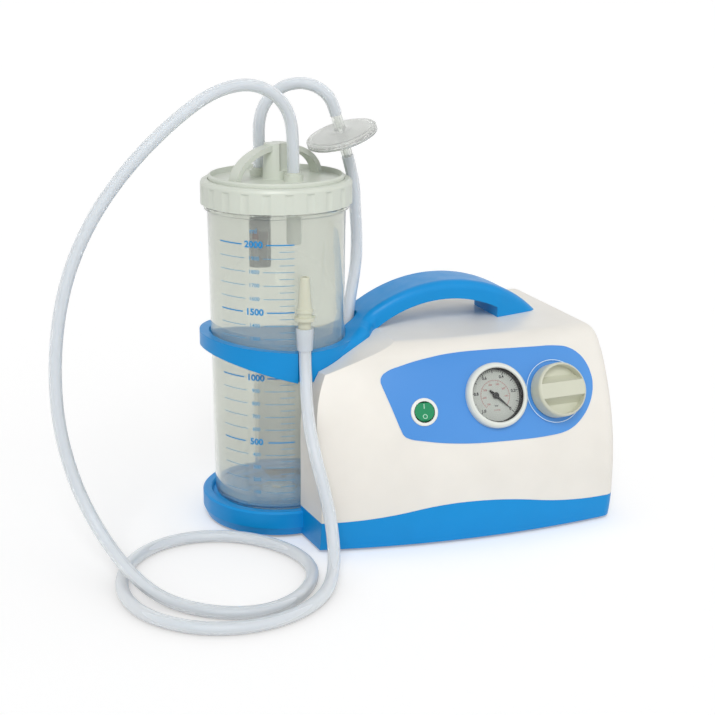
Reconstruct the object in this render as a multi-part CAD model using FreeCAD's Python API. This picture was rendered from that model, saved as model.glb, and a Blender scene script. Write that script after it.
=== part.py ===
import FreeCAD, Part
import math
import os

# A portable suction unit: a pump housing with its controls, and the suction canister that
# stands in the unit's tray and ring.
# Millimetres and degrees. The origin is on the ground under the middle of the unit.
# X runs along the unit to the panel's right, the panel looks towards -Y, and Z is up.

# Housing
right_x = 165.5
front_y = -99.0
back_y = 102.8
top_z = 163.0
foot_height = 3.0
front_apex_x = 70.0
front_plan_radius = 700.0
front_span = 48.0
end_round = 10.0
back_round = 13.0
cover_wall = 2.6
base_wall = 4.0
base_floor = 3.0
lip_gap = 0.15
lip_height = 3.0

# Left end of the housing, which hugs the jar and leans away from it towards the top
left_slope = 0.082
left_lean_start_z = 95.0
left_lean_radius = 90.0
deck_slope = 0.3

# Line between the blue base and the white cover
wave_start_z = 27.5
wave_stations = [(-95.0, 0.0), (-20.0, 9.5), (22.0, 0.0), (85.0, -11.0), (160.0, 0.0)]

# Jar
jar_x = -100.0
jar_y = 24.0
jar_bottom_z = 20.0
jar_bottom_radius = 54.5
jar_taper = 0.011
jar_wall = 2.5
jar_floor = 3.0
jar_bottom_round = 5.0
jar_flange_z = 268.0
jar_flange_thickness = 3.0
jar_neck_radius = 57.0
jar_neck_wall = 3.1
jar_flange_radius = jar_neck_radius + 2.8
jar_neck_height = 10.0
jar_lug_reach = 1.4
jar_gate_radius = 6.0

# Tray and ring that hold the jar
holder_radius = 65.5
tray_foot_radius = 62.5
tray_skirt_z = 10.0
tray_rim_z = 24.0
tray_skin = 2.5
well_radius = 57.0
concave_radius = 60.4
ring_bore_radius = 57.6
ring_seat_z = 135.0
ring_seat_gap = 0.5
ring_top_z = 160.0
ring_left_bottom_z = 154.3
ring_left_top_z = 166.0
ring_round = 2.5
notch_radius = 5.6
notch_x = -97.6
notch_y = -41.4

# Handle, one moulding with the ring
handle_half_width = 23.0
handle_foot_half_width = 24.0
handle_tip_half_width = 11.0
handle_root_x = -20.0
handle_foot_x = 94.0
handle_tip_x = 143.0
handle_foot_round = 40.0
handle_tip_round = 8.0
handle_arch_start_x = -18.6
handle_arch_radius = 109.0
handle_arch_x = 45.0
handle_arch_peak_z = 183.5
handle_arch_z = handle_arch_peak_z - handle_arch_radius
handle_top_radius = 130.0
handle_top_x = 48.0
handle_peak_z = 199.0
handle_top_z = handle_peak_z - handle_top_radius
handle_rise_x = -26.0
rise_blend = 22.0
handle_round = 7.0
root_shoulder_x = -30.5
root_shoulder_half_width = 35.5
root_shoulder_round = 8.0
root_hollow_x = -22.0
root_hollow_round = 9.0
root_tangent_angle = -58.0

# Hose groove and vacuum inlet in the housing
channel_x = -37.5
channel_radius = 6.2
channel_floor_z = 115.0
elbow_height = 8.0
groove_radius = 8.2

# Panel
label_thickness = 0.45
label_gap = 0.05
label_corners = [(-41.7, 139.0), (-23.3, 147.0), (16.5, 153.8), (47.6, 154.9), (84.0, 153.8),
                 (117.0, 152.0), (138.7, 142.4), (145.4, 119.0), (132.8, 91.8), (114.4, 84.8),
                 (53.6, 85.0), (18.5, 87.0), (-27.0, 95.0), (-37.4, 125.4)]
panel_gap = 0.2
gauge_x = 53.7
gauge_z = 120.9
gauge_case_radius = 24.0
gauge_case_depth = 22.0
gauge_case_front = 3.6
gauge_case_wall = 1.2
gauge_bezel_radius = 27.0
gauge_bezel_height = 6.2
gauge_window_radius = 22.3
gauge_lens_thickness = 1.4
gauge_dial_back = -2.6
gauge_dial_thickness = 0.8
needle_length = 17.0
needle_tail = 6.5
needle_angle = -45.0
spindle_radius = 0.9
running_gap = 0.05
knob_x = 107.5
knob_z = 119.0
knob_radius = 22.5
knob_height = 15.0
knob_lift = 0.7
knob_round = 3.0
knob_bar_half_width = 5.0
knob_scoop_depth = 8.0
knob_scoop_radius = 19.0
regulator_stem_radius = 3.0
regulator_body_radius = 12.0
switch_x = -9.6
switch_z = 113.2
switch_bezel_radius = 11.4
switch_bezel_height = 1.6
switch_barrel_radius = 9.9
switch_bore_radius = 8.7
switch_depth = 20.0
rocker_radius = 8.1
rocker_tilt = 7.0
rocker_pivot_depth = 2.4

# Lid
lid_ring_radius = jar_neck_radius + 5.45
lid_ring_bottom_z = 272.5
lid_ring_top_z = 292.5
lid_ring_wall = 2.6
lid_scallops = 22
lid_scallop_depth = 0.9
lid_lip_radius = jar_neck_radius - 1.0
lid_lip_top_z = 296.0
lid_floor_z = 292.0
lid_gap = 0.3
lid_skin = 2.5
gasket_thickness = 2.0
lid_axis_angle = 26.5
arch_half_span = 48.5
arch_peak_z = 320.0
arch_band = 4.5
arch_width = 10.0
hub_radius = 10.5
hub_top_z = 321.0
hub_flute_radius = 6.0
port_distance = 20.0
port_boss_radius = 8.0
port_top_z = 299.0
spout_radius = 6.0
spout_bottom_z = 244.0
cage_radius = 9.0
cage_wall = 1.3
cage_bottom_z = 222.0
float_radius = 6.5
float_height = 23.0
float_cap_height = 7.0
float_travel = 10.0
float_gap = 0.3

# Hoses, with the bores that slip over their barbs
hose_radius = 5.0
hose_bore_radius = 3.0
barb_radius = 2.9
barb_length = 13.0

# Filter
filter_centre = (-43.0, 24.1, 324.6)
filter_axis = (-0.316, -0.105, 0.943)
filter_radius = 30.0
filter_half_thickness = 4.2
filter_wall = 1.4
filter_stem_radius = 4.6
filter_reach = 18.5

# Conical connector in the ring's notch
cuff_bottom_z = 163.0
cuff_top_z = 181.0
cuff_top_radius = 7.0
cuff_bottom_radius = 6.2
connector_stem_radius = 5.3
connector_bore_radius = 2.2
connector_tip_z = 223.0
connector_tip_radius = 3.4
connector_flanges = [(8.5, 188.0, 190.6), (7.0, 194.2, 196.8)]
connector_neck_radius = 6.1
connector_steps_z = 198.0
connector_step_count = 4
connector_step_radius = 5.9
connector_step_drop = 0.5
connector_step_taper = 0.35

# Motor and pump, on a plate that stands on rubber mounts
motor_y = 30.0
motor_z = 62.0
motor_radius = 38.0
motor_start_x = 24.0
motor_end_x = 94.0
motor_wall = 2.0
shaft_radius = 4.0
rotor_radius = 20.0
stator_bore_gap = 0.6
bearing_radius = 11.0
bearing_width = 7.0
fan_radius = 34.0
fan_start_x = 99.0
fan_width = 13.0
fan_blades = 9
plate_z = 16.0
plate_thickness = 2.0
mount_radius = 7.0
crankcase_start_x = -14.0
crankcase_end_x = 12.0
crankcase_half = 23.0
crankcase_bore = 20.5
crankcase_wall = 4.0
crank_offset = 3.0
crank_radius = 6.0
big_end_bore = 13.0
big_end_radius = 16.0
piston_radius = 17.0
piston_height = 6.0
piston_top_z = 101.0
cylinder_wall = 4.0
cylinder_top_z = 108.0
head_height = 7.0
head_fin_depth = 3.4
head_fin_count = 4
head_fin_pitch = 10.0
head_fin_gap = 3.2
head_barb_offset = 6.0
head_barb_reach = 28.0
rib_reach = 3.5
rib_thickness = 2.0
rib_pitch = 6.0
rib_count = 3

# Screws, posts and feet
post_radius = 5.5
post_split_z = 42.0
screw_head_z = 15.0
screw_head_radius = 3.8
screw_head_height = 2.6
screw_radius = 1.9
screw_gap = 0.1
post_places = [(-72.0, -58.0), (148.0, -68.0), (148.0, 86.0), (-66.0, 90.0)]
foot_radius = 8.0
foot_plug_radius = 3.0
foot_plug_gap = 0.1
foot_places = [(-78.0, -64.0), (140.0, -76.0), (140.0, 82.0), (-74.0, 84.0)]
tray_foot_places = [(-140.0, -6.0), (-140.0, 54.0)]

# Mains inlet and vents on the back
inlet_x = 120.0
inlet_z = 52.0
inlet_width = 27.0
inlet_height = 20.0
inlet_flange = 3.0
inlet_flange_thickness = 2.0
inlet_depth = 24.0
vent_count = 9
vent_pitch = 8.0
vent_width = 3.4
vent_height = 46.0
vent_start_x = 22.0
vent_z = 92.0
floor_vent_count = 6
floor_vent_pitch = 10.0
floor_vent_start_x = 30.0
floor_vent_front_y = -62.0
floor_vent_back_y = -30.0
silencer_x = 20.0
silencer_y = 84.0
silencer_radius = 13.0
silencer_height = 44.0

big = 600.0
x_axis = FreeCAD.Vector(1, 0, 0)
y_axis = FreeCAD.Vector(0, 1, 0)
z_axis = FreeCAD.Vector(0, 0, 1)

# Routes of the hoses, chosen by hand from the photograph
patient_route = [
    (-91.05, 6.1, 299.0), (-91.05, 6.1, 324.0), (-94.5, 3.0, 346.0), (-108.0, -2.0, 363.5),
    (-132.0, -6.5, 373.0), (-163.0, -12.0, 367.0), (-197.0, -18.0, 345.0), (-232.0, -23.0, 314.0),
    (-262.0, -27.0, 277.0), (-284.0, -30.0, 232.0), (-295.0, -32.0, 179.0), (-296.0, -34.5, 124.0),
    (-287.0, -39.0, 77.0), (-275.0, -51.0, 45.0), (-265.0, -73.0, 28.0), (-256.0, -98.0, 18.0),
    (-244.0, -119.0, 9.5), (-228.0, -138.0, 5.2), (-204.0, -159.0, 5.0), (-174.0, -168.0, 5.0),
    (-147.0, -159.0, 5.0), (-126.0, -138.0, 5.0), (-114.0, -111.0, 5.0), (-116.0, -80.0, 5.0),
    (-132.0, -50.0, 5.0), (-157.0, -28.0, 5.0), (-187.0, -19.0, 5.0), (-217.0, -24.0, 5.0),
    (-242.0, -43.0, 5.0), (-258.0, -71.0, 5.0), (-264.0, -104.0, 5.0), (-259.0, -136.0, 5.0),
    (-242.0, -163.0, 5.0), (-215.0, -182.0, 5.0), (-181.0, -188.0, 5.0), (-148.0, -179.0, 5.0),
    (-121.0, -158.0, 5.5), (-105.0, -133.0, 10.0), (-98.5, -114.0, 24.0), (-98.0, -104.0, 44.0),
    (-101.0, -97.0, 66.0), (-104.5, -88.0, 88.0), (-104.5, -73.0, 107.5), (-101.5, -57.5, 124.0),
    (-98.3, -46.0, 139.5), (-97.6, -41.4, 154.0), (-97.6, -41.4, 168.0)]
upper_route = [
    (-108.95, 41.9, 299.0), (-108.95, 41.9, 317.0), (-109.3, 41.8, 334.0), (-105.8, 41.1, 348.5),
    (-98.0, 38.9, 359.0), (-88.5, 35.0, 365.8), (-78.2, 30.2, 368.1), (-68.4, 25.3, 366.8),
    (-59.3, 22.1, 361.5)]
upper_route_lead = 11.5
lower_route_lead = 22.0
lower_route = [
    (-27.2, 33.5, 260.0), (-24.8, 35.0, 236.4), (-26.4, 32.6, 212.5), (-32.2, 28.2, 190.0),
    (-36.9, 24.6, 168.0), (-37.5, 24.0, 143.0)]


def vec(x, y, z):
    return FreeCAD.Vector(x, y, z)


def sin_deg(angle):
    return math.sin(math.radians(angle))


def cos_deg(angle):
    return math.cos(math.radians(angle))


def cylinder(radius, low, high, x=0.0, y=0.0):
    """Upright cylinder between two heights"""
    return Part.makeCylinder(radius, high - low, vec(x, y, low), z_axis)


def tube(outer, inner, low, high, x=0.0, y=0.0):
    """Upright tube between two heights"""
    return cylinder(outer, low, high, x, y).cut(cylinder(inner, low - 1, high + 1, x, y))


def lying_cylinder(radius, start_x, end_x, y, z):
    """Cylinder along X"""
    return Part.makeCylinder(radius, end_x - start_x, vec(start_x, y, z), x_axis)


def block(x0, x1, y0, y1, z0, z1):
    """Box between two corners"""
    return Part.makeBox(x1 - x0, y1 - y0, z1 - z0, vec(x0, y0, z0))


def fuse_all(shapes):
    """One shape from several, without the seams between them"""
    return shapes[0].fuse(shapes[1:]).removeSplitter()


def revolved(points, x=0.0, y=0.0):
    """Solid of revolution about an upright axis from (radius, height) points"""
    corners = [vec(x + r, y, z) for r, z in points]
    face = Part.Face(Part.makePolygon(corners + corners[:1]))
    return face.revolve(vec(x, y, 0), z_axis, 360)


def edges_near(shape, test):
    """Edges whose middle point passes a test"""
    found = []
    for edge in shape.Edges:
        middle = edge.valueAt((edge.FirstParameter + edge.LastParameter) / 2)
        if test(middle, edge):
            found.append(edge)
    return found


# Chains of tangent arcs, which give the housing's front and the base's wavy top

def chain_step(s0, a0, s1, a1):
    """How far an arc moves sideways between two stations of its slope"""
    turn = sin_deg(a1) - sin_deg(a0)
    if abs(turn) < 1e-9:
        return (s1 - s0) * math.tan(math.radians(a0))
    return (s1 - s0) / turn * (cos_deg(a0) - cos_deg(a1))


def chain_points(stations, zero_at=0):
    """Points (along, across, slope) of tangent arcs, across counted from one of them"""
    points = [(stations[0][0], 0.0, stations[0][1])]
    for (s0, a0), (s1, a1) in zip(stations, stations[1:]):
        across = points[-1][1] + chain_step(s0, a0, s1, a1)
        points.append((s1, across, a1))
    shift = points[zero_at][1]
    return [(s, across - shift, a) for s, across, a in points]


def inset_point(s, across, slope, inset):
    """A chain's point moved inwards by a wall"""
    return s - inset * sin_deg(slope), across + inset * cos_deg(slope)


def chain_edges(points, inset, place):
    """Edges of a chain, moved inwards by a wall"""
    edges = []
    for (s0, c0, a0), (s1, c1, a1) in zip(points, points[1:]):
        start = place(*inset_point(s0, c0, a0, inset))
        end = place(*inset_point(s1, c1, a1, inset))
        if abs(a1 - a0) < 1e-9:
            edges.append(Part.makeLine(start, end))
            continue
        half = (a0 + a1) / 2
        radius = (s1 - s0) / (sin_deg(a1) - sin_deg(a0))
        s_mid = s0 + radius * (sin_deg(half) - sin_deg(a0))
        c_mid = c0 + radius * (cos_deg(a0) - cos_deg(half))
        middle = place(*inset_point(s_mid, c_mid, half, inset))
        edges.append(Part.Arc(start, middle, end).toShape())
    return edges


def front_stations():
    """Height and lean of the front face at the ends of its arcs"""
    return [(foot_height, -14.0), (foot_height + 27.0, 0.0), (foot_height + 42.0, 0.0),
            (top_z - 68.0, 16.0), (top_z - 23.0, 30.0), (top_z - 8.0, 42.0), (top_z, 90.0)]


def front_surface(height):
    """Y and lean of the front face at its apex line, at a height"""
    points = chain_points(front_stations(), 1)
    for (s0, c0, a0), (s1, c1, a1) in zip(points, points[1:]):
        if s0 <= height <= s1:
            if abs(a1 - a0) < 1e-9:
                return front_y + c0 + (height - s0) * math.tan(math.radians(a0)), a0
            radius = (s1 - s0) / (sin_deg(a1) - sin_deg(a0))
            lean = math.degrees(math.asin(sin_deg(a0) + (height - s0) / radius))
            return front_y + c0 + radius * (cos_deg(a0) - cos_deg(lean)), lean
    raise ValueError("height is outside the front face")


def front_wedge(inset):
    """The front face's profile turned about its far upright axis"""
    points = chain_points(front_stations(), 1)
    axis_y = front_y + front_plan_radius

    def place(s, across):
        return vec(front_apex_x, front_y + across, s)

    edges = chain_edges(points, inset, place)
    start = place(*inset_point(*points[0], inset))
    end = place(*inset_point(*points[-1], inset))
    top = vec(front_apex_x, axis_y, end.z)
    bottom = vec(front_apex_x, axis_y, start.z)
    edges.append(Part.makeLine(end, top))
    edges.append(Part.makeLine(top, bottom))
    edges.append(Part.makeLine(bottom, start))
    face = Part.Face(Part.Wire(edges))
    face.rotate(vec(front_apex_x, axis_y, 0), z_axis, -front_span / 2)
    return face.revolve(vec(front_apex_x, axis_y, 0), z_axis, front_span)


# Housing form

def end_block(inset):
    """Right end, back and top of the housing, with the rounded top back edge"""
    form = block(-big, right_x - inset, -big, back_y - inset, foot_height, top_z - inset)

    def top_back(point, edge):
        return abs(point.y - back_y + inset) < 0.1 and abs(point.z - top_z + inset) < 0.1

    return form.makeFillet(back_round - inset, edges_near(form, top_back))


def left_cutter(inset):
    """What lies left of the housing's front half: an upright wall that leans away at the top"""
    centre_x = jar_x - concave_radius * left_slope + left_lean_radius
    radius = left_lean_radius - inset
    lean_top = 60.0

    def wall(angle):
        return vec(centre_x - radius * cos_deg(angle), jar_y,
                   left_lean_start_z + radius * sin_deg(angle))

    low = vec(wall(0).x, jar_y, -big)
    far_low = vec(-big, jar_y, -big)
    far_high = vec(-big, jar_y, wall(lean_top).z)
    edges = [Part.makeLine(low, wall(0)),
             Part.Arc(wall(0), wall(lean_top / 2), wall(lean_top)).toShape(),
             Part.makeLine(wall(lean_top), far_high), Part.makeLine(far_high, far_low),
             Part.makeLine(far_low, low)]
    face = Part.Face(Part.Wire(edges))
    return face.extrude(vec(left_slope, -1.0, 0.0) * 250.0)


def deck_cutter(inset):
    """What lies above the slanted deck that carries the ring's root"""
    drop = inset * math.hypot(1.0, deck_slope)
    meet_x = deck_end_x()
    far = 250.0

    def deck_z(x):
        return top_z + (x - meet_x) * deck_slope - drop

    corners = [vec(meet_x - far, -big, deck_z(meet_x - far)),
               vec(meet_x + far, -big, deck_z(meet_x + far)),
               vec(meet_x + far, -big, big), vec(meet_x - far, -big, big)]
    face = Part.Face(Part.makePolygon(corners + corners[:1]))
    return face.extrude(vec(0, 2 * big, 0))


def deck_end_x():
    """Where the slanted deck meets the flat top"""
    return handle_root_x


def body_form(inset):
    """The housing's outer form, or the same form inside a wall"""
    form = front_wedge(inset).common(end_block(inset))

    def right_loop(point, edge):
        on_end = abs(point.x - right_x + inset) < 0.1
        return on_end and point.z > foot_height + 0.6 * inset + 0.5

    form = form.makeFillet(end_round - inset, edges_near(form, right_loop))
    left = left_cutter(inset)
    form = form.cut(left)
    rear = left.mirror(vec(0, jar_y, 0), y_axis)
    form = form.cut(rear)
    form = form.cut(cylinder(concave_radius + inset, -big, big, jar_x, jar_y))
    seat = cylinder(holder_radius + ring_seat_gap + inset, ring_seat_z - inset, big, jar_x, jar_y)
    form = form.cut(seat)
    form = form.cut(deck_cutter(inset))
    channel = cylinder(channel_radius + inset, channel_floor_z - inset, big, channel_x, jar_y)
    return form.cut(channel)


def below_wave(lift):
    """Everything under the wavy line, moved up by a lift"""
    points = chain_points(wave_stations)

    def place(s, across):
        return vec(s, -big, wave_start_z + across + lift)

    edges = chain_edges(points, 0.0, place)
    first = place(points[0][0], points[0][1])
    last = place(points[-1][0], points[-1][1])
    left = vec(-big, -big, first.z)
    right = vec(big, -big, last.z)
    low_right = vec(big, -big, -big)
    low_left = vec(-big, -big, -big)
    edges = [Part.makeLine(left, first)] + edges
    edges += [Part.makeLine(last, right), Part.makeLine(right, low_right),
              Part.makeLine(low_right, low_left), Part.makeLine(low_left, left)]
    return Part.Face(Part.Wire(edges)).extrude(vec(0, 2 * big, 0))


# Panel frame

def on_panel(shape, x, z):
    """A shape made about the origin, with Z out, set on the front face at a place"""
    moved = shape.copy()
    moved.Placement = panel_placement(x, z).multiply(shape.Placement)
    return moved


def panel_placement(x, z):
    """Place and turn of the front face's own frame: X right, Y up the face, Z out"""
    surface_y, lean = front_surface(z)
    axis_y = front_y + front_plan_radius
    radius = axis_y - surface_y
    turn = math.degrees(math.asin((x - front_apex_x) / radius))
    right = vec(cos_deg(turn), sin_deg(turn), 0)
    out = vec(sin_deg(turn) * cos_deg(lean), -cos_deg(turn) * cos_deg(lean), sin_deg(lean))
    up = out.cross(right)
    place = vec(x, axis_y - radius * cos_deg(turn), z)
    return FreeCAD.Placement(FreeCAD.Matrix(right.x, up.x, out.x, place.x,
                                            right.y, up.y, out.y, place.y,
                                            right.z, up.z, out.z, place.z,
                                            0, 0, 0, 1))


def panel_hole(radius, x, z):
    """Cutter for a round hole through the cover and its label"""
    return on_panel(cylinder(radius, -12.0, 12.0), x, z)


def panel_holes():
    """Cutters for every control that passes through the front"""
    return [panel_hole(gauge_case_radius + panel_gap, gauge_x, gauge_z),
            panel_hole(switch_barrel_radius + panel_gap, switch_x, switch_z),
            panel_hole(regulator_stem_radius + panel_gap, knob_x, knob_z)]


# Base

def tray_disc():
    """The round tray under the jar, hollow underneath"""
    skin_z = jar_bottom_z - tray_skin
    inner = tray_foot_radius - tray_skin
    edge = 1.5
    return revolved([(0, skin_z), (inner, skin_z), (inner, foot_height),
                     (tray_foot_radius, foot_height), (holder_radius, tray_skirt_z),
                     (holder_radius, tray_rim_z - edge), (holder_radius - edge, tray_rim_z),
                     (well_radius + edge, tray_rim_z), (well_radius, tray_rim_z - edge),
                     (well_radius, jar_bottom_z), (0, jar_bottom_z)], jar_x, jar_y)


def base_cavity():
    """Hollow of the base, above its floor"""
    floor = foot_height + base_floor
    return body_form(base_wall).common(block(-big, big, -big, big, floor, big))


def base_tray():
    """Blue base moulding: the housing's floor and wavy wall, and the jar's tray"""
    outer = body_form(0.0).common(below_wave(0.0))
    lip = body_form(cover_wall + lip_gap).common(below_wave(lip_height))
    shell = outer.fuse(lip).cut(base_cavity())
    bosses = [cylinder(foot_radius, foot_height, jar_bottom_z - tray_skin / 2, x, y)
              for x, y in tray_foot_places]
    posts = [cylinder(post_radius, foot_height, post_split_z, x, y) for x, y in post_places]
    base = shell.fuse([tray_disc()] + bosses + posts)
    plug_top = foot_height + base_floor
    for x, y in foot_places + tray_foot_places:
        base = base.cut(cylinder(foot_plug_radius + foot_plug_gap, foot_height - 1, plug_top, x, y))
    for x, y in post_places:
        base = base.cut(cylinder(screw_head_radius + 3 * screw_gap, 0, screw_head_z, x, y))
        base = base.cut(cylinder(screw_radius + 3 * screw_gap, 0, post_split_z + 1, x, y))
    for slot in floor_vents():
        base = base.cut(slot)
    return base.removeSplitter()


def floor_vents():
    """Slots in the floor under the motor"""
    slots = []
    for index in range(floor_vent_count):
        x = floor_vent_start_x + index * floor_vent_pitch
        slots.append(block(x, x + vent_width, floor_vent_front_y, floor_vent_back_y, 0.0,
                           foot_height + base_floor + 1))
    return slots


def rubber_feet():
    """Feet, each with a plug in the base"""
    feet = []
    for x, y in foot_places + tray_foot_places:
        pad = cylinder(foot_radius, 0, foot_height, x, y)
        pad = pad.makeChamfer(0.8, edges_near(pad, lambda p, e: p.z < 0.1 and len(e.Vertexes) == 1))
        plug = cylinder(foot_plug_radius, foot_height, foot_height + base_floor, x, y)
        feet.append(pad.fuse(plug).removeSplitter())
    return Part.makeCompound(feet)


def base_screws():
    """Screws that hold the cover down"""
    screws = []
    for x, y in post_places:
        head = cylinder(screw_head_radius, screw_head_z - screw_head_height, screw_head_z, x, y)
        shank = cylinder(screw_radius, screw_head_z, post_split_z + 12.0, x, y)
        screws.append(head.fuse(shank).removeSplitter())
    return Part.makeCompound(screws)


# Cover

def housing_cover():
    """White cover moulding"""
    inner = body_form(cover_wall)
    outer = body_form(0.0).cut(below_wave(0.0))
    shell = outer.cut(inner)
    posts = fuse_all([cylinder(post_radius, post_split_z, top_z, x, y) for x, y in post_places])
    cover = shell.fuse(posts.common(body_form(cover_wall / 2)))
    for x, y in post_places:
        cover = cover.cut(cylinder(screw_radius + screw_gap / 2, 0, post_split_z + 14.0, x, y))
    cutters = panel_holes() + [inlet_cutter(), channel_hole()] + back_vents()
    for cutter in cutters:
        cover = cover.cut(cutter)
    return cover.removeSplitter()


def channel_hole():
    """Hole in the channel's side for the vacuum inlet's stem"""
    end_x = channel_x + channel_radius + 3 * cover_wall
    return lying_cylinder(barb_radius + screw_gap, channel_x, end_x, jar_y,
                          channel_floor_z + elbow_height / 2)


def inlet_cutter():
    """Opening in the back for the mains inlet"""
    half_w = inlet_width / 2 + panel_gap
    half_h = inlet_height / 2 + panel_gap
    return block(inlet_x - half_w, inlet_x + half_w, back_y - 12, back_y + 12,
                 inlet_z - half_h, inlet_z + half_h)


def back_vents():
    """Upright slots with round ends in the back"""
    slots = []
    half = vent_width / 2
    for index in range(vent_count):
        x = vent_start_x + index * vent_pitch
        low = vent_z - vent_height / 2
        high = vent_z + vent_height / 2
        slot = block(x - half, x + half, back_y - 10, back_y + 10, low, high)
        ends = [Part.makeCylinder(half, 20.0, vec(x, back_y - 10, z), y_axis) for z in (low, high)]
        slots.append(fuse_all([slot] + ends))
    return slots


def panel_label():
    """Blue skin on the front face"""
    points = [vec(x, -big, z) for x, z in label_corners]
    curve = Part.BSplineCurve()
    curve.interpolate(Points=points, PeriodicFlag=True)
    outline = Part.Face(Part.Wire([curve.toShape()])).extrude(vec(0, big, 0))
    skin = front_wedge(-label_thickness).cut(front_wedge(-label_gap))
    label = skin.common(outline)
    for cutter in panel_holes():
        label = label.cut(cutter)
    return label


# Ring and handle

def ring_band():
    """The ring round the jar, thin on the left and deep where it joins the housing"""
    ring = tube(holder_radius, ring_bore_radius, ring_seat_z - 5, ring_left_top_z + 5, jar_x, jar_y)
    left = jar_x - holder_radius - 1
    right = jar_x + holder_radius + 1
    mid = jar_x - 3
    corners = [vec(left, -big, ring_left_bottom_z), vec(mid, -big, ring_seat_z),
               vec(right, -big, ring_seat_z), vec(right, -big, ring_top_z),
               vec(jar_x, -big, ring_top_z), vec(left, -big, ring_left_top_z)]
    side = Part.Face(Part.makePolygon(corners + corners[:1])).extrude(vec(0, 2 * big, 0))
    return ring.common(side)


def rounded_edges(points, radii):
    """Straight sides through points, with tangent arcs of the given radii at the inner points"""
    edges = []
    start = points[0]
    for before, corner, after, radius in zip(points, points[1:], points[2:], radii):
        into = corner - before
        out = after - corner
        half_turn = into.getAngle(out) / 2
        into.normalize()
        out.normalize()
        reach = radius * math.tan(half_turn)
        arc_start = corner - into * reach
        arc_end = corner + out * reach
        middle_way = out - into
        middle_way.normalize()
        middle = corner + middle_way * (radius / math.cos(half_turn) - radius)
        edges.append(Part.makeLine(start, arc_start))
        edges.append(Part.Arc(arc_start, middle, arc_end).toShape())
        start = arc_end
    edges.append(Part.makeLine(start, points[-1]))
    return edges


def crown(x):
    """Height of the handle's crown"""
    return handle_top_z + math.sqrt(handle_top_radius ** 2 - (x - handle_top_x) ** 2)


def arch(x):
    """Height of the handle's underside"""
    return handle_arch_z + math.sqrt(handle_arch_radius ** 2 - (x - handle_arch_x) ** 2)


def handle_side():
    """Side view of the root and the arched handle, as a long prism"""
    start_x = jar_x - 10
    slope = (handle_top_x - handle_rise_x) / (crown(handle_rise_x) - handle_top_z)
    rise_top = vec(handle_rise_x, -big, crown(handle_rise_x))
    rise_foot = vec(handle_rise_x - (rise_top.z - ring_top_z) / slope, -big, ring_top_z)
    tip_x = handle_top_x + math.sqrt(handle_top_radius ** 2 - (ring_seat_z - handle_top_z) ** 2)
    low_start = vec(start_x, -big, ring_seat_z)
    low_end = vec(handle_arch_start_x, -big, ring_seat_z)
    arch_start = vec(handle_arch_start_x, -big, arch(handle_arch_start_x))
    arch_middle = vec(handle_arch_x, -big, arch(handle_arch_x))
    arch_end = vec(handle_foot_x, -big, arch(handle_foot_x))
    foot_inner = vec(handle_foot_x, -big, ring_seat_z)
    tip = vec(tip_x, -big, ring_seat_z)
    middle = vec(handle_top_x, -big, crown(handle_top_x))
    edges = [Part.makeLine(low_start, low_end), Part.makeLine(low_end, arch_start),
             Part.Arc(arch_start, arch_middle, arch_end).toShape(),
             Part.makeLine(arch_end, foot_inner), Part.makeLine(foot_inner, tip),
             Part.Arc(tip, middle, rise_top).toShape()]
    edges += rounded_edges([rise_top, rise_foot, vec(start_x, -big, ring_top_z), low_start],
                           [rise_blend, 0.01])
    return Part.Face(Part.Wire(edges)).extrude(vec(0, 2 * big, 0))


def handle_plan():
    """Top view of the root and handle, as a tall prism"""
    side_y = jar_y - handle_half_width
    foot_y = jar_y - handle_foot_half_width
    tip_y = jar_y - handle_tip_half_width
    shoulder_y = jar_y - root_shoulder_half_width
    tangent = vec(jar_x + holder_radius * cos_deg(root_tangent_angle),
                  jar_y + holder_radius * sin_deg(root_tangent_angle), 0)
    half = [tangent, vec(root_shoulder_x, shoulder_y, 0), vec(root_hollow_x, side_y, 0),
            vec(handle_foot_x, foot_y, 0), vec(handle_tip_x, tip_y, 0)]
    other = [vec(point.x, 2 * jar_y - point.y, 0) for point in reversed(half)]
    radii = [root_shoulder_round, root_hollow_round, handle_foot_round, handle_tip_round]
    edges = rounded_edges(half + other, radii + radii[::-1])
    centre = vec(jar_x, jar_y, 0)
    edges += [Part.makeLine(other[-1], centre), Part.makeLine(centre, tangent)]
    return Part.Face(Part.Wire(edges)).extrude(vec(0, 0, 2 * top_z))


def handle_bar():
    """The root and the handle, with their edges rounded"""
    bar = handle_side().common(handle_plan())

    def top_edge(point, edge):
        off_middle = abs(point.y - jar_y) > 3.0 or point.x > handle_foot_x
        on_crown = abs(point.z - crown(point.x)) < 0.2 if point.x > handle_rise_x else True
        return on_crown and point.z > ring_top_z - 0.1 and off_middle and point.x > jar_x + 20

    return bar.makeFillet(handle_round, edges_near(bar, top_edge))


def carry_handle():
    """Blue ring and handle moulding, seated on the housing"""
    moulding = ring_band().fuse(handle_bar())
    moulding = moulding.cut(cylinder(ring_bore_radius, -big, big, jar_x, jar_y))
    moulding = moulding.cut(body_form(0.0))
    moulding = moulding.cut(cylinder(groove_radius, 0, big, channel_x, jar_y))
    slot_x = jar_x + ring_bore_radius - 8
    moulding = moulding.cut(block(slot_x, channel_x, jar_y - groove_radius, jar_y + groove_radius,
                                  0, big))
    notch = cylinder(notch_radius, 0, big, notch_x, notch_y)
    mouth = block(notch_x - notch_radius, notch_x + notch_radius, notch_y - 20, notch_y, 0, big)
    moulding = moulding.cut(notch.fuse(mouth))
    return moulding.removeSplitter()


# Gauge, made about its own middle on the front face

def front_skin_cut(shape, x, z):
    """What is left of a control in front of the label's face"""
    return on_panel(shape, x, z).cut(front_wedge(-label_thickness))


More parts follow.
